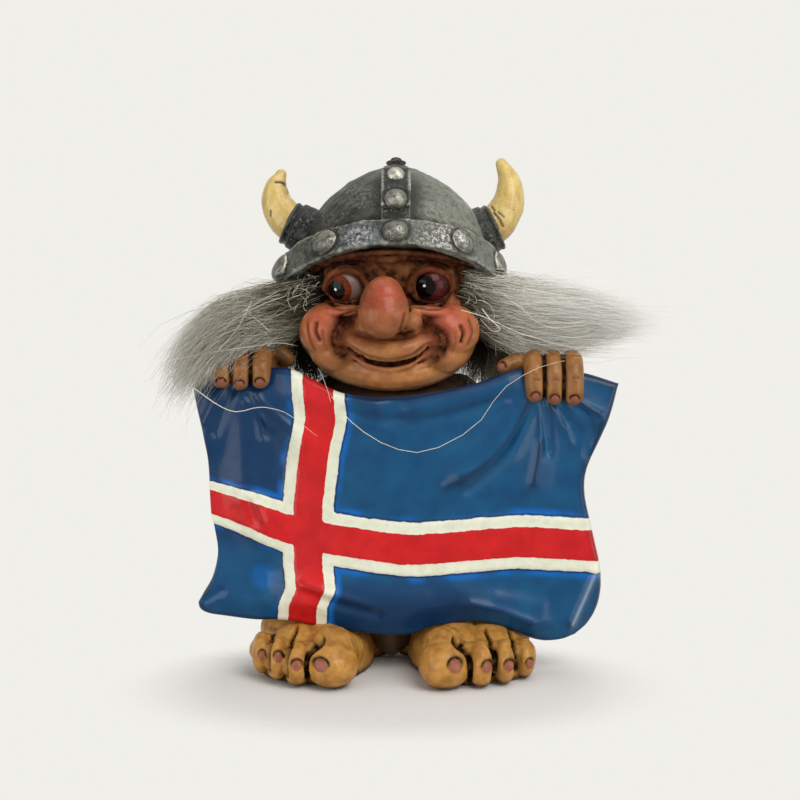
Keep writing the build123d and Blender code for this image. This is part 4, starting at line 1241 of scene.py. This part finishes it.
def tint_helmet(piece, node, co, lit):
    """Masks for a helmet piece's paint. Its places are those before the helmet was bent."""
    rise, lift = rise_of(co), relief_of(piece, rounds=10)
    edge = ease(0.03, 0.2, lift) * (0.55 if node == "helmet_bowl" else 0.9)
    wash_and_shade = ease(0.02, 0.2, -lift)
    bloom = ease(-0.2, 0.6, wobble(co, size=6.0, seed=47)) * (0.45 if node == "helmet_band" else 0.15)
    cold = worn_spot(co, *COLD_SPOT) * (node == "helmet_band")
    if node == "helmet_bowl":
        # Painted shade beside the strap and along the band's upper edge
        beside_strap = ease(6.6, 3.8, np.abs(co[:, 0])) * ease(0, -4, co[:, 1])
        wash_and_shade = wash_and_shade + 0.8 * bell(rise - 6.7, 0.8) + 0.85 * beside_strap
    else:
        bloom = np.clip(bloom + worn_spot(co, *PALE_SPOT), 0, 1)
    if node in ("helmet_band", "helmet_strap"):
        # Painted shadow rings round the rivets
        wash_and_shade = np.maximum(wash_and_shade, 0.95 * ease(1.5, 0.6, rivet_gap(co)))
    if node == "strap_studs":
        edge = np.maximum(edge, 0.1 + 0.5 * ease(15, 18, rise))
    mask(piece, "high", edge)
    mask(piece, "wash_and_shade", 0.85 * np.clip(wash_and_shade, 0, 1))
    # Painted light: paler towards the lit side
    mask(piece, "lit", lit * ease(-14, 16, co[:, 0]))
    mask(piece, "bloom", bloom)
    mask(piece, "cold", cold)


def build_helmet():
    """Wears down the helmet's solids, models the horns' collars and paints all of them."""
    for node, (grain, soften, dent, lit, metal) in HELMET_PIECES.items():
        clay = Clay()
        if node in COLLARS:
            collar(clay, *COLLARS[node])
        else:
            clay.copy_node(node)
        piece = clay.skin(grain, soften)
        co, no = points_of(piece), normals_of(piece)
        co = co + no * dent * (wobble(co, size=3.0, seed=41) + 0.5 * wobble(co, size=1.3, seed=43))[:, None]
        put_points(piece, co if node in COLLARS else shape_helmet(node, co, no))
        tint_helmet(piece, node, co, lit)
        wear_paint(piece, metal_paint(f"{node}_paint", **metal))
        settle(piece, f"{node}_cast", "helmet", node)


HORNS = {
    "right": [(-19.6, 5.6, 91.4), (-22.8, 5.9, 93.2), (-25.4, 6.5, 96.8), (-25.6, 7.2, 100.4),
              (-24.6, 7.8, 103.1)],
    "left": [(18.9, 5.6, 91.2), (21.6, 5.9, 93.0), (24.0, 6.6, 97.2), (24.1, 7.6, 101.8), (22.6, 8.3, 105.4)]}
HORN_RADII = [4.0, 4.1, 3.5, 2.5, 1.25]
HORN_GRAIN = 0.2
# Cracks and scratches: a path in the front view and its half width
HORN_CRACKS = {
    "right": (([(-25.7, 101.7), (-24.2, 101.5), (-23.2, 100.4), (-22.9, 99.2)], 0.26),
              ([(-26.6, 95.6), (-26.7, 94.4)], 0.16)),
    "left": (([(20.7, 95.2), (21.6, 94.2), (22.7, 92.3)], 0.2), ([(21.6, 95.4), (22.9, 94.3)], 0.16),
             ([(20.3, 96.4), (20.9, 95.6)], 0.16))}


def horn_paint(name):
    """Yellowed horn that is browner at its root, with nicks and dark cracks."""
    p = Paint(name)
    tone = p.noise(1.6, 4, 0.6, (1, 1, 0.4))
    colour = p.mix(p.span(tone, 0.3, 0.7), rgb(184, 154, 84), rgb(210, 184, 116))
    colour = p.mix(p.times(p.span(p.attr("tip"), 0.35, 0.12), 0.4), colour, rgb(150, 108, 48))
    nick = p.span(p.noise(0.55, 3, 0.6), 0.68, 0.74)
    colour = p.mix(p.times(nick, 0.85), colour, rgb(64, 40, 18))
    colour = p.mix(p.attr("crack"), colour, rgb(30, 16, 8))
    p.bump(p.sum(p.noise(0.9, 4), p.times(nick, -0.7)), 0.09)
    rough = p.span(tone, 0.2, 0.8, 0.28, 0.42)
    return p.finish(colour, rough, coat=0.2, coat_roughness=0.12, ior=1.38)


def build_horns():
    """Models and paints both horns."""
    for side, line in HORNS.items():
        clay = Clay()
        clay.tube(line, HORN_RADII, count=26)
        horn = clay.skin(HORN_GRAIN, soften=5)
        co, no = points_of(horn), normals_of(horn)
        steps = through(line, 60)[::3]
        to_tip = np.argmin(((co[:, None] - steps[None]) ** 2).sum(2), 1) / len(steps)
        rings = 0.03 * np.sin(to_tip * 46) * ease(0.75, 0.3, to_tip)
        crack = most(drawn(co, path, width) for path, width in HORN_CRACKS[side]) * facing_front(no)
        put_points(horn, co + no * (rings + 0.07 * wobble(co, size=2.4, seed=51) - 0.3 * crack)[:, None])
        mask(horn, "tip", to_tip)
        mask(horn, "crack", crack)
        wear_paint(horn, horn_paint(f"{side}_horn_paint"))
        settle(horn, f"{side}_horn_cast", "horn", f"{side}_horn")


# Hair

THIRDS = (0, 2.0944, 4.18879)
ACROSS_HAIR = np.array((0.31, 0.87, 0.38))


def unit(vectors):
    """Vectors with a length of 1."""
    return vectors / np.maximum(np.linalg.norm(vectors, axis=2, keepdims=True), 1e-9)


def strands_mesh(name, lines, root, tip):
    """One mesh of thin three-sided hairs. lines is (hairs, points, 3) in millimetres."""
    n, k, _ = lines.shape
    tangent = unit(np.gradient(lines, axis=1))
    side = unit(np.cross(tangent, ACROSS_HAIR))
    other = np.cross(tangent, side)
    share = np.linspace(0, 1, k)[None, :, None]
    radius = root[:, None, None] * (1 - share) ** 0.8 + tip * share
    rings = [lines + radius * (math.cos(a) * side + math.sin(a) * other) for a in THIRDS]
    base = (np.arange(n)[:, None] * k + np.arange(k - 1)[None]) * 3
    quads = []
    for a, b in ((0, 1), (1, 2), (2, 0)):
        quads.append(np.stack([base + a, base + 3 + a, base + 3 + b, base + b], -1).reshape(-1, 4))
    first = np.arange(n) * k * 3
    last = first + (k - 1) * 3
    caps = np.vstack([np.stack([first, first + 1, first + 2], 1), np.stack([last + 2, last + 1, last], 1)])
    return mesh_of(name, np.stack(rings, 2).reshape(-1, 3), np.vstack(quads).tolist() + caps.tolist())


def hair_paint(name):
    """Fur that is dark at the roots and pale at the tips. The ash layer whitens it."""
    p = Paint(name)
    to_tip = p.sum(p.attr("along"), p.times(p.attr("tone"), 0.28))
    grey = p.ramp(to_tip, (0.0, rgb(40, 33, 22)), (0.26, rgb(86, 78, 57)), (0.6, rgb(152, 145, 119)),
                  (0.95, rgb(228, 226, 215)))
    white = p.ramp(to_tip, (0.0, rgb(84, 76, 60)), (0.24, rgb(172, 167, 152)), (0.5, rgb(234, 232, 224)),
                   (0.9, rgb(252, 251, 248)))
    colour = p.mix(p.attr("ash"), grey, white)
    colour = p.mix(p.span(p.attr("tone"), 0.55, 0.75), colour, rgb(232, 226, 206))
    colour = p.mix(p.times(p.noise(2.0, 2), 0.15), colour, rgb(60, 52, 40))
    return p.finish(colour, p.span(p.attr("tone"), -0.5, 1, 0.65, 0.5), ior=1.33)


HAIR_POINTS, GUIDE_POINTS = 7, 40
TUFT_SAG = {"right": 1.2, "left": 0.9}
# How far to either side a hair may reach
HAIR_REACH = 61.0
# Share of hairs that stray, and how much more than the others they do
WILD_SHARE, WILDNESS = 0.07, 2.6
BUNCH_SPREAD = 0.9
LOCKS = 90


def comb(rng, count, guides, scatter, fray, reach, clumps, gather, wave):
    """Hairs that follow a fan of guide lines, gather in clumps towards their tips and curl a little."""
    t = np.linspace(0, 1, HAIR_POINTS)
    late = (t ** 1.5)[None, :, None]
    fine = np.stack([through(guide, GUIDE_POINTS) for guide in guides])
    fan = np.sort(rng.uniform(0, len(fine) - 1.001, count))
    low = fan.astype(int)
    share = (fan - low)[:, None, None]
    full = fine[low] * (1 - share) + fine[low + 1] * share
    low_reach, high_reach = reach
    length = low_reach + (high_reach - low_reach) * rng.uniform(size=count) ** 1.4
    place = length[:, None] * t[None] * (GUIDE_POINTS - 1)
    step = np.minimum(place.astype(int), GUIDE_POINTS - 2)
    part = (place - step)[..., None]
    rows = np.arange(count)[:, None]
    lines = full[rows, step] * (1 - part) + full[rows, step + 1] * part
    wild = np.where(rng.uniform(size=(count, 1, 1)) < WILD_SHARE, WILDNESS, 1.0)
    lines += scatter * rng.normal(size=(count, 1, 3)) + fray * wild * late * rng.normal(size=(count, 1, 3))
    group = np.arange(count) * clumps // count
    leader = np.minimum(group * count // clumps + rng.integers(0, count // clumps, clumps)[group], count - 1)
    pull = gather * late * rng.uniform(0.3, 1.1, (count, 1, 1))
    lines = lines * (1 - pull) + lines[leader] * pull
    bunch = rng.normal(size=(clumps, 1, 3))[group] * BUNCH_SPREAD * late
    turns = rng.uniform(3, 9, (count, 1, 1))
    curl = np.sin(t[None, :, None] * turns + rng.uniform(0, FULL_TURN, (count, 1, 3)))
    return lines + bunch + wave * rng.uniform(0.2, 1.4, (count, 1, 1)) * curl * late


def add_hair(rng, name, lines, root, tip, pale=0.0, ash=0.0, ramp_reach=1.0, nodes=()):
    """Makes hairs from lines, with root and tip radii, and paints them.

    Pale lightens all of a hair, ash whitens it and the ramp's reach sets how pale its tip gets; on the nape
    fur it is cut short, so the tips stay dark as painted shade.
    """
    count, points, _ = lines.shape
    lines[..., 0] = np.clip(lines[..., 0], -HAIR_REACH, HAIR_REACH)
    hair = strands_mesh(name, lines, root * rng.uniform(0.6, 1.3, count), tip)
    locks = rng.normal(0, 0.22, LOCKS)[np.arange(count) * LOCKS // count]
    tone = np.clip(rng.normal(0.1, 0.3, count) + locks + pale, -0.6, 1)
    to_tip = np.outer(np.broadcast_to(ramp_reach, count), np.linspace(0, 1, points))
    mask(hair, "along", np.repeat(to_tip.ravel(), 3))
    mask(hair, "tone", np.repeat(np.repeat(tone, points), 3))
    mask(hair, "ash", np.repeat(np.broadcast_to(ash, count), points * 3))
    wear_paint(hair, hair_paint(f"{name}_paint"))
    settle(hair, name, "fur", *nodes)


# Guide lines of each tuft, from its upper edge to its lower one and then the side away from the viewer
TUFTS = {
    "right": (
        [(-15.6, -5.4, 82.6), (-25.3, -5, 80.6), (-30.1, -9, 79.6), (-35.8, -12, 77.8), (-40.9, -14.5, 74.2),
         (-46.2, -16.5, 67.5), (-48.4, -17.5, 62.0)],
        [(-15.4, -6.4, 80.6), (-23.8, -7, 78.0), (-30.2, -12, 76.2), (-35.9, -15, 74.2), (-41, -17, 70.4),
         (-45.6, -18, 64.6), (-47.4, -18.5, 59.0)],
        [(-15.8, -6.4, 77.6), (-22.6, -8, 74.6), (-29.2, -13, 73.0), (-34.6, -16, 71.4), (-39.6, -18, 67.8),
         (-43.8, -18.5, 62.4), (-45.6, -19, 57.0)],
        [(-17, -5, 74.4), (-20.6, -8, 73.0), (-27.1, -13, 72.2), (-32, -16, 71.6), (-37.2, -18, 68.8),
         (-42, -19, 63.6), (-45.0, -19.5, 57.6)],
        [(-17.5, 3, 79), (-24, 1, 78), (-31, -3, 76.4), (-37, -6, 73.6), (-42, -9, 69.4), (-46, -11, 64.0),
         (-47.6, -12, 58.0)]),
    "left": (
        [(14.4, -5.4, 83.2), (21.8, -4, 82.4), (28.4, -7, 81.4), (37.3, -9, 80.2), (46.2, -11, 78.2),
         (56, -12, 75.4)],
        [(14.2, -6.4, 80.8), (21.2, -6, 79.0), (28, -9.5, 78.0), (37.4, -11.5, 77.2), (46.3, -13, 76.2),
         (57, -13.5, 74.4)],
        [(15.2, -6.4, 77.2), (20.8, -6.5, 75.4), (27.8, -10, 74.0), (37.4, -12, 73.4), (46.3, -13, 73.8),
         (57, -13.5, 73.8)],
        [(16.5, -4, 72.6), (19.8, -6, 71.0), (26.7, -8.5, 69.4), (34.4, -10, 69.0), (42.6, -12, 70.4),
         (54, -13, 72.4)],
        [(17, 4, 79.5), (24, 0, 78.6), (33, -4, 77.4), (42, -6, 76.4), (50, -8, 75.6), (57, -9, 74.6)])}
# Shares of white along a tuft's guide lines, and how much duller a tuft is than the left one. The left tuft's
# whiteness is partly painted light and the right tuft's dullness partly painted shade, as the key light comes
# from the figure's left
ASHES = {"right": [0.1, 0.0, 0.0, 0.12, 0.1], "left": [1.0, 0.85, 0.4, 0.25, 0.6]}
DULLNESS = {"right": 0.2, "left": 0.0}
# Single long hairs that lie over the tufts, the hands and the flag
STRAYS = (
    [(-41.0, -20.5, 61.0), (-36.0, -20.5, 57.4), (-32.3, -20.5, 56.0), (-28.1, -20.5, 56.9),
     (-25.2, -20.5, 56.7), (-21.6, -20.5, 55.4), (-16.0, -20.5, 51.0)],
    [(-24.0, -10, 79.8), (-32.4, -16, 75.0), (-35.4, -19, 71.0), (-39.2, -20, 67.2), (-42.8, -20.5, 61.6)],
    [(-20.4, -8, 68.0), (-24.2, -13, 69.2), (-29.8, -18.5, 69.0), (-36.4, -20, 68.2), (-41.8, -20.5, 67.2),
     (-47.4, -20, 66.0)],
    [(-29.4, -14, 78.0), (-32.2, -18, 72.6), (-36.2, -20, 68.0), (-39.8, -20.5, 63.6), (-41.6, -20.5, 57.6)],
    [(-22.6, -9, 78.6), (-27.8, -14, 77.0), (-34.0, -17, 73.4), (-38.4, -19, 68.6), (-41.4, -20, 63.4)],
    [(-34.6, -15, 77.4), (-31.0, -17, 76.4), (-27.6, -18, 74.0), (-25.4, -18.5, 72.0)],
    [(-16.0, -12.5, 64.0), (-14.9, -15.5, 62.2), (-13.8, -18.2, 59.8), (-13.2, -19.4, 57.8)],
    [(-13, -19.5, 59), (-9, -21, 54), (-2, -21.5, 49.4), (6, -21.5, 48), (16, -20.5, 53), (21.6, -19.5, 60.4),
     (28.6, -18.5, 64.6), (34.4, -17, 66.0)],
    [(13.2, -15.5, 76.2), (16.8, -15, 75.2), (20.2, -15, 73.8), (24.4, -15, 71.8), (29.0, -15.5, 70.4),
     (34.6, -15.5, 68.8), (41.4, -15.5, 68.6)],
    [(17.6, -14.5, 76.4), (19.2, -15.5, 74.4), (21.2, -16, 72.4), (19.6, -16, 72.0), (17.2, -15.5, 74.4)],
    [(24.6, -12, 77.4), (29.0, -15, 73.6), (33.0, -15.5, 72.6), (39.0, -15.5, 73.2)],
    [(20.6, -10, 80.4), (22.2, -13, 79.2), (25.4, -14, 76.6)])
# Roots of the fur below the ears and behind the chin: side, place across and depth
NAPE_ROOTS = ((1, 21, 1), (1, 20, 4), (1, 17, 6), (1, 13, 6), (-1, 13, 6), (-1, 17, 5), (-1, 20, 4))
# How far the roots scatter and the tips fray, how much of a guide a hair follows, how many clumps there are,
# how closely they gather and how wide the hairs curl
TUFT_COMBING = dict(scatter=0.85, fray=1.5, reach=(0.34, 1.0), clumps=110, gather=0.6, wave=1.3)
BACK_COMBING = dict(scatter=1.0, fray=1.4, reach=(0.5, 1.0), clumps=130, gather=0.55, wave=0.9)
NAPE_COMBING = dict(scatter=1.0, fray=1.2, reach=(0.6, 1.0), clumps=60, gather=0.4, wave=0.8)
HAIR_SEED = 7
STRAY_POINTS, STRAY_ROOT, STRAY_TIP = 16, 0.085, 0.035
WISPS, WISP_POINTS, WISP_ROOT, WISP_TIP = 26, 10, 0.06, 0.02
# The side of each temple and where its wisps start
TEMPLES = ((-1, -16.2), (1, 13.4))


def back_guides():
    """Guide lines of the hair that hangs round the back of the head, from ear to ear."""
    guides = []
    for angle in np.radians(np.linspace(-8, 188, 9)):
        c, q = math.cos(angle), math.sin(angle)
        top = 80.5 - 7.0 * q
        guides.append([(18 * c, 4 + 18 * q, top), (21.5 * c, 4 + 21.5 * q, top - 3),
                       (24.5 * c, 4 + 24 * q, top - 8), (25.5 * c, 4 + 24.6 * q, top - 14),
                       (24.5 * c, 4 + 23.4 * q, 57 - 1.5 * q)])
    return guides


def nape_guides():
    """Guide lines of the short fur below the ears and behind the chin."""
    return [[(sign * x, y, 70), (sign * (x + 1.5), y - 1.5, 66), (sign * (x + 1.2), y - 2.5, 61),
             (sign * x, y - 2.5, 57)] for sign, x, y in NAPE_ROOTS]


def wisp(rng, sign, root_x):
    """A short curled hair at a temple."""
    t = np.linspace(0, 1, WISP_POINTS)
    x = root_x + sign * rng.uniform(-1.0, 4.0)
    start = np.array((x, rng.uniform(-12.0, -9.0), rng.uniform(76.5, 84.0)))
    curl = rng.uniform(1.0, 2.6)
    turn = rng.uniform(1.5, 5.0) * t + rng.uniform(0, FULL_TURN)
    out = np.stack([sign * (2.2 * t + 0.5 * curl * np.sin(turn)), -2.0 * t + 0.4 * np.cos(turn),
                    rng.uniform(-3.0, 1.0) * t + 0.5 * curl * np.cos(turn)], 1)
    return start + out - out[0]


def build_hair():
    """Combs the tufts, the back hair, the nape's fur and the loose hairs."""
    count, layers, root = settings().hair_count, settings().hair_layers, in_mm("hair_radius")
    rng = np.random.default_rng(HAIR_SEED)
    fan = np.linspace(0, 1, count)
    for side, guides in TUFTS.items():
        pale = np.interp(fan, [0, 0.3, 0.75, 1], [0.3, 0.05, -0.1, 0.0]) - DULLNESS[side]
        ash = np.interp(fan, np.linspace(0, 1, len(guides)), ASHES[side])
        for layer in range(layers):
            lines = comb(rng, count, guides, **TUFT_COMBING)
            lines[..., 2] -= TUFT_SAG[side]
            add_hair(rng, f"{side}_hair_{layer}", lines, root, tip=0.012, pale=pale, ash=ash,
                     nodes=(f"{side}_hair",) if layer == 0 else ())
    # The back hair is painted darker, as painted shade behind the head
    for layer in range(layers):
        lines = comb(rng, count, back_guides(), **BACK_COMBING)
        add_hair(rng, f"back_hair_{layer}", lines, root, tip=0.014, pale=-0.25,
                 nodes=("back_hair",) if layer == 0 else ())
    # The nape fur is painted darker with duller tips, as painted shade under the chin
    lines = comb(rng, count // 2, nape_guides(), **NAPE_COMBING)
    ramp_reach = np.interp(np.linspace(0, 1, len(lines)), [0, 0.55, 0.65, 1], [0.75, 0.6, 0.3, 0.3])
    add_hair(rng, "nape_fur", lines, root, tip=0.02, pale=-0.3, ramp_reach=ramp_reach)
    lines = np.stack([through(path, STRAY_POINTS) for path in STRAYS])
    add_hair(rng, "stray_hairs", lines, STRAY_ROOT, STRAY_TIP, pale=1.3)
    lines = np.stack([wisp(rng, sign, x) for sign, x in TEMPLES for _ in range(WISPS)])
    add_hair(rng, "temple_wisps", lines, WISP_ROOT, WISP_TIP, pale=0.3)


# Stage: sizes in metres

BACKDROP, SKY_COLOUR = rgb(240, 239, 234), (1.0, 0.985, 0.96, 1)
FLOOR_PALE, FLOOR_WHITE = rgb(218, 217, 213), rgb(221, 220, 216)
FLOOR_SIZE, FLOOR_Z = 1.6, -0.0004
# The floor shows only in an oval under the feet and fades out into the backdrop
OVAL_Y, OVAL_HALF, OVAL_FADE = -0.024, (0.06, 0.04, 1), (0.55, 1.0)
LIGHT_TARGET = Vector((0, 0, 0.05))
SIDE_SHARE = 0.5
CAMERA_PLACE, CAMERA_TARGET = Vector((0.00085, -0.39611, 0.11121)), Vector((0.00085, 0, 0.05554))
CAMERA_ANGLE, CAMERA_NEAR = math.radians(24.09), 0.01


def aim(obj, target):
    """Turns a light or camera towards a place."""
    obj.rotation_euler = (target - obj.location).to_track_quat("-Z", "Y").to_euler()


def floor_paint():
    """A pale floor that fades to nothing round an oval."""
    p = Paint("floor_paint")
    p.finish(p.mix(p.noise(9.0, 2), FLOOR_PALE, FLOOR_WHITE), 0.9)
    place = p.place
    for step, amount in (("SUBTRACT", (0, OVAL_Y, 0)), ("DIVIDE", OVAL_HALF)):
        shift = p.node("ShaderNodeVectorMath", operation=step)
        p.feed(shift.inputs[0], place)
        shift.inputs[1].default_value = amount
        place = shift.outputs["Vector"]
    reach = p.node("ShaderNodeVectorMath", operation="LENGTH")
    p.feed(reach.inputs[0], place)
    blend = p.node("ShaderNodeMixShader")
    p.feed(blend.inputs[0], p.span(reach.outputs["Value"], *OVAL_FADE))
    p.feed(blend.inputs[1], p.shader.outputs["BSDF"])
    p.feed(blend.inputs[2], p.node("ShaderNodeBsdfTransparent").outputs["BSDF"])
    p.feed(p.tree.nodes["Material Output"].inputs["Surface"], blend.outputs["Shader"])
    return p.material


def light_world():
    """Even light from all round, with a pale backdrop for what is seen or mirrored."""
    world = bpy.data.worlds.new("studio")
    bpy.context.scene.world = world
    world.use_nodes = True
    nodes, links = world.node_tree.nodes, world.node_tree.links
    sky = nodes["Background"]
    sky.inputs["Color"].default_value = SKY_COLOUR
    sky.inputs["Strength"].default_value = settings().sky_strength
    backdrop = nodes.new("ShaderNodeBackground")
    backdrop.inputs["Color"].default_value = BACKDROP
    ray = nodes.new("ShaderNodeLightPath")
    shown = ray.outputs["Is Camera Ray"]
    for kind in ("Is Glossy Ray", "Is Transmission Ray"):
        either = nodes.new("ShaderNodeMath")
        either.operation = "MAXIMUM"
        links.new(shown, either.inputs[0])
        links.new(ray.outputs[kind], either.inputs[1])
        shown = either.outputs["Value"]
    choice = nodes.new("ShaderNodeMixShader")
    links.new(shown, choice.inputs[0])
    links.new(sky.outputs["Background"], choice.inputs[1])
    links.new(backdrop.outputs["Background"], choice.inputs[2])
    links.new(choice.outputs["Shader"], nodes["World Output"].inputs["Surface"])


def build_stage():
    """Sets up the floor, the light and the camera."""
    s = settings()
    scene = bpy.context.scene
    bpy.ops.mesh.primitive_plane_add(size=FLOOR_SIZE, location=(0, 0, FLOOR_Z))
    floor = bpy.context.object
    floor.name = "floor"
    wear_paint(floor, floor_paint())
    light_world()
    # Softboxes: name, place, side length and power
    for name, place, size, energy in (
            ("key_light", (0.24, -0.36, 0.42), 0.36, s.key_energy),
            ("fill_light", (-0.38, -0.34, 0.07), 0.4, s.fill_energy),
            ("side_light", (0.42, -0.26, 0.06), 0.3, SIDE_SHARE * s.fill_energy),
            ("top_light", (0.05, 0.06, 0.62), 0.5, s.top_energy)):
        bpy.ops.object.light_add(type="AREA", location=place)
        light = bpy.context.object
        light.name = name
        light.data.size = size
        light.data.energy = energy
        aim(light, LIGHT_TARGET)
    bpy.ops.object.camera_add(location=CAMERA_PLACE)
    camera = bpy.context.object
    camera.name = "photo_camera"
    aim(camera, CAMERA_TARGET)
    camera.data.sensor_fit = "HORIZONTAL"
    camera.data.angle = CAMERA_ANGLE
    camera.data.clip_start = CAMERA_NEAR
    scene.camera = camera
    scene.view_settings.view_transform = "Standard"


# The add-on's settings, operators and panel

class TrollSettings(bpy.types.PropertyGroup):
    """Sizes and strengths that the pieces are made with."""
    head_voxel: bpy.props.FloatProperty(
        name="Head grain", description="Fineness of the head's skin", default=0.32 * MM, min=0.15 * MM,
        max=MM, precision=5, unit="LENGTH")
    limb_voxel: bpy.props.FloatProperty(
        name="Limb grain", description="Fineness of the hands and feet", default=0.28 * MM, min=0.15 * MM,
        max=MM, precision=5, unit="LENGTH")
    cloth_voxel: bpy.props.FloatProperty(
        name="Cloth grain", description="Fineness of the clothes", default=0.55 * MM, min=0.2 * MM, max=MM,
        precision=5, unit="LENGTH")
    flag_columns: bpy.props.IntProperty(
        name="Flag columns", description="Points across the flag", default=214, min=20, max=300,
        subtype="UNSIGNED")
    flag_rows: bpy.props.IntProperty(
        name="Flag rows", description="Points down the flag", default=138, min=20, max=200,
        subtype="UNSIGNED")
    fold_depth: bpy.props.FloatProperty(
        name="Fold depth", description="Share of their depth that the flag's finer folds have", default=1.0,
        min=0, max=2, subtype="FACTOR")
    cross_relief: bpy.props.FloatProperty(
        name="Cross relief", description="How far the cross stands out of the flag", default=0.4 * MM, min=0,
        max=MM, precision=5, unit="LENGTH")
    hair_count: bpy.props.IntProperty(
        name="Hairs", description="Hairs in one layer of a tuft", default=3600, min=300, max=4200,
        subtype="UNSIGNED")
    hair_layers: bpy.props.IntProperty(
        name="Hair layers", description="Layers of hair in a tuft", default=2, min=1, max=3,
        subtype="UNSIGNED")
    hair_radius: bpy.props.FloatProperty(
        name="Hair radius", description="Radius of a hair at its root", default=0.058 * MM, min=0.01 * MM,
        max=0.2 * MM, precision=6, unit="LENGTH")
    key_energy: bpy.props.FloatProperty(
        name="Key light", description="Power of the main softbox", default=2.08, min=0, unit="POWER")
    fill_energy: bpy.props.FloatProperty(
        name="Fill light", description="Power of the side softbox", default=1.4, min=0, unit="POWER")
    top_energy: bpy.props.FloatProperty(
        name="Top light", description="Power of the overhead softbox", default=1.0, min=0, unit="POWER")
    sky_strength: bpy.props.FloatProperty(
        name="Studio glow", description="Strength of the even light from all round", default=0.32, min=0,
        max=1, subtype="FACTOR")


class TROLL_OT_head(bpy.types.Operator):
    """Models and paints the head"""
    bl_idname = "troll.head"
    bl_label = "Head"

    def execute(self, context):
        build_head()
        return {"FINISHED"}


class TROLL_OT_eyes(bpy.types.Operator):
    """Models and paints the eyes"""
    bl_idname = "troll.eyes"
    bl_label = "Eyes"

    def execute(self, context):
        build_eyes()
        return {"FINISHED"}


class TROLL_OT_hands(bpy.types.Operator):
    """Models and paints the hands"""
    bl_idname = "troll.hands"
    bl_label = "Hands"

    def execute(self, context):
        build_hands()
        return {"FINISHED"}


class TROLL_OT_feet(bpy.types.Operator):
    """Models and paints the feet"""
    bl_idname = "troll.feet"
    bl_label = "Feet"

    def execute(self, context):
        build_feet()
        return {"FINISHED"}


class TROLL_OT_body(bpy.types.Operator):
    """Models and paints the clothed body and arms"""
    bl_idname = "troll.body"
    bl_label = "Body"

    def execute(self, context):
        build_body()
        return {"FINISHED"}


class TROLL_OT_flag(bpy.types.Operator):
    """Models and paints the flag"""
    bl_idname = "troll.flag"
    bl_label = "Flag"

    def execute(self, context):
        build_flag()
        return {"FINISHED"}


class TROLL_OT_helmet(bpy.types.Operator):
    """Softens and paints the helmet's pieces"""
    bl_idname = "troll.helmet"
    bl_label = "Helmet"

    def execute(self, context):
        build_helmet()
        return {"FINISHED"}


class TROLL_OT_horns(bpy.types.Operator):
    """Models and paints the horns"""
    bl_idname = "troll.horns"
    bl_label = "Horns"

    def execute(self, context):
        build_horns()
        return {"FINISHED"}


class TROLL_OT_hair(bpy.types.Operator):
    """Combs the fur hair"""
    bl_idname = "troll.hair"
    bl_label = "Hair"

    def execute(self, context):
        build_hair()
        return {"FINISHED"}


class TROLL_OT_stage(bpy.types.Operator):
    """Sets up the floor, the lights and the camera"""
    bl_idname = "troll.stage"
    bl_label = "Stage"

    def execute(self, context):
        build_stage()
        return {"FINISHED"}


OPERATORS = (TROLL_OT_head, TROLL_OT_eyes, TROLL_OT_hands, TROLL_OT_feet, TROLL_OT_body, TROLL_OT_flag,
             TROLL_OT_helmet, TROLL_OT_horns, TROLL_OT_hair, TROLL_OT_stage)


class TROLL_PT_panel(bpy.types.Panel):
    """Settings and steps of the troll ornament"""
    bl_idname = "TROLL_PT_panel"
    bl_label = "Troll Ornament"
    bl_space_type = "VIEW_3D"
    bl_region_type = "UI"
    bl_category = "Troll"

    def draw(self, context):
        for name in TrollSettings.__annotations__:
            self.layout.prop(context.scene.troll, name)
        for operator in OPERATORS:
            self.layout.operator(operator.bl_idname)


CLASSES = (TrollSettings, *OPERATORS, TROLL_PT_panel)


def register():
    """Makes the add-on's classes and settings known."""
    for cls in CLASSES:
        bpy.utils.register_class(cls)
    bpy.types.Scene.troll = bpy.props.PointerProperty(type=TrollSettings)


def unregister():
    """Takes the add-on's classes and settings away again."""
    del bpy.types.Scene.troll
    for cls in reversed(CLASSES):
        bpy.utils.unregister_class(cls)


def main():
    """Registers the add-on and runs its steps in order."""
    register()
    bpy.ops.troll.head()
    bpy.ops.troll.eyes()
    bpy.ops.troll.hands()
    bpy.ops.troll.feet()
    bpy.ops.troll.body()
    bpy.ops.troll.flag()
    bpy.ops.troll.helmet()
    bpy.ops.troll.horns()
    bpy.ops.troll.hair()
    bpy.ops.troll.stage()


if __name__ == "__main__":
    main()
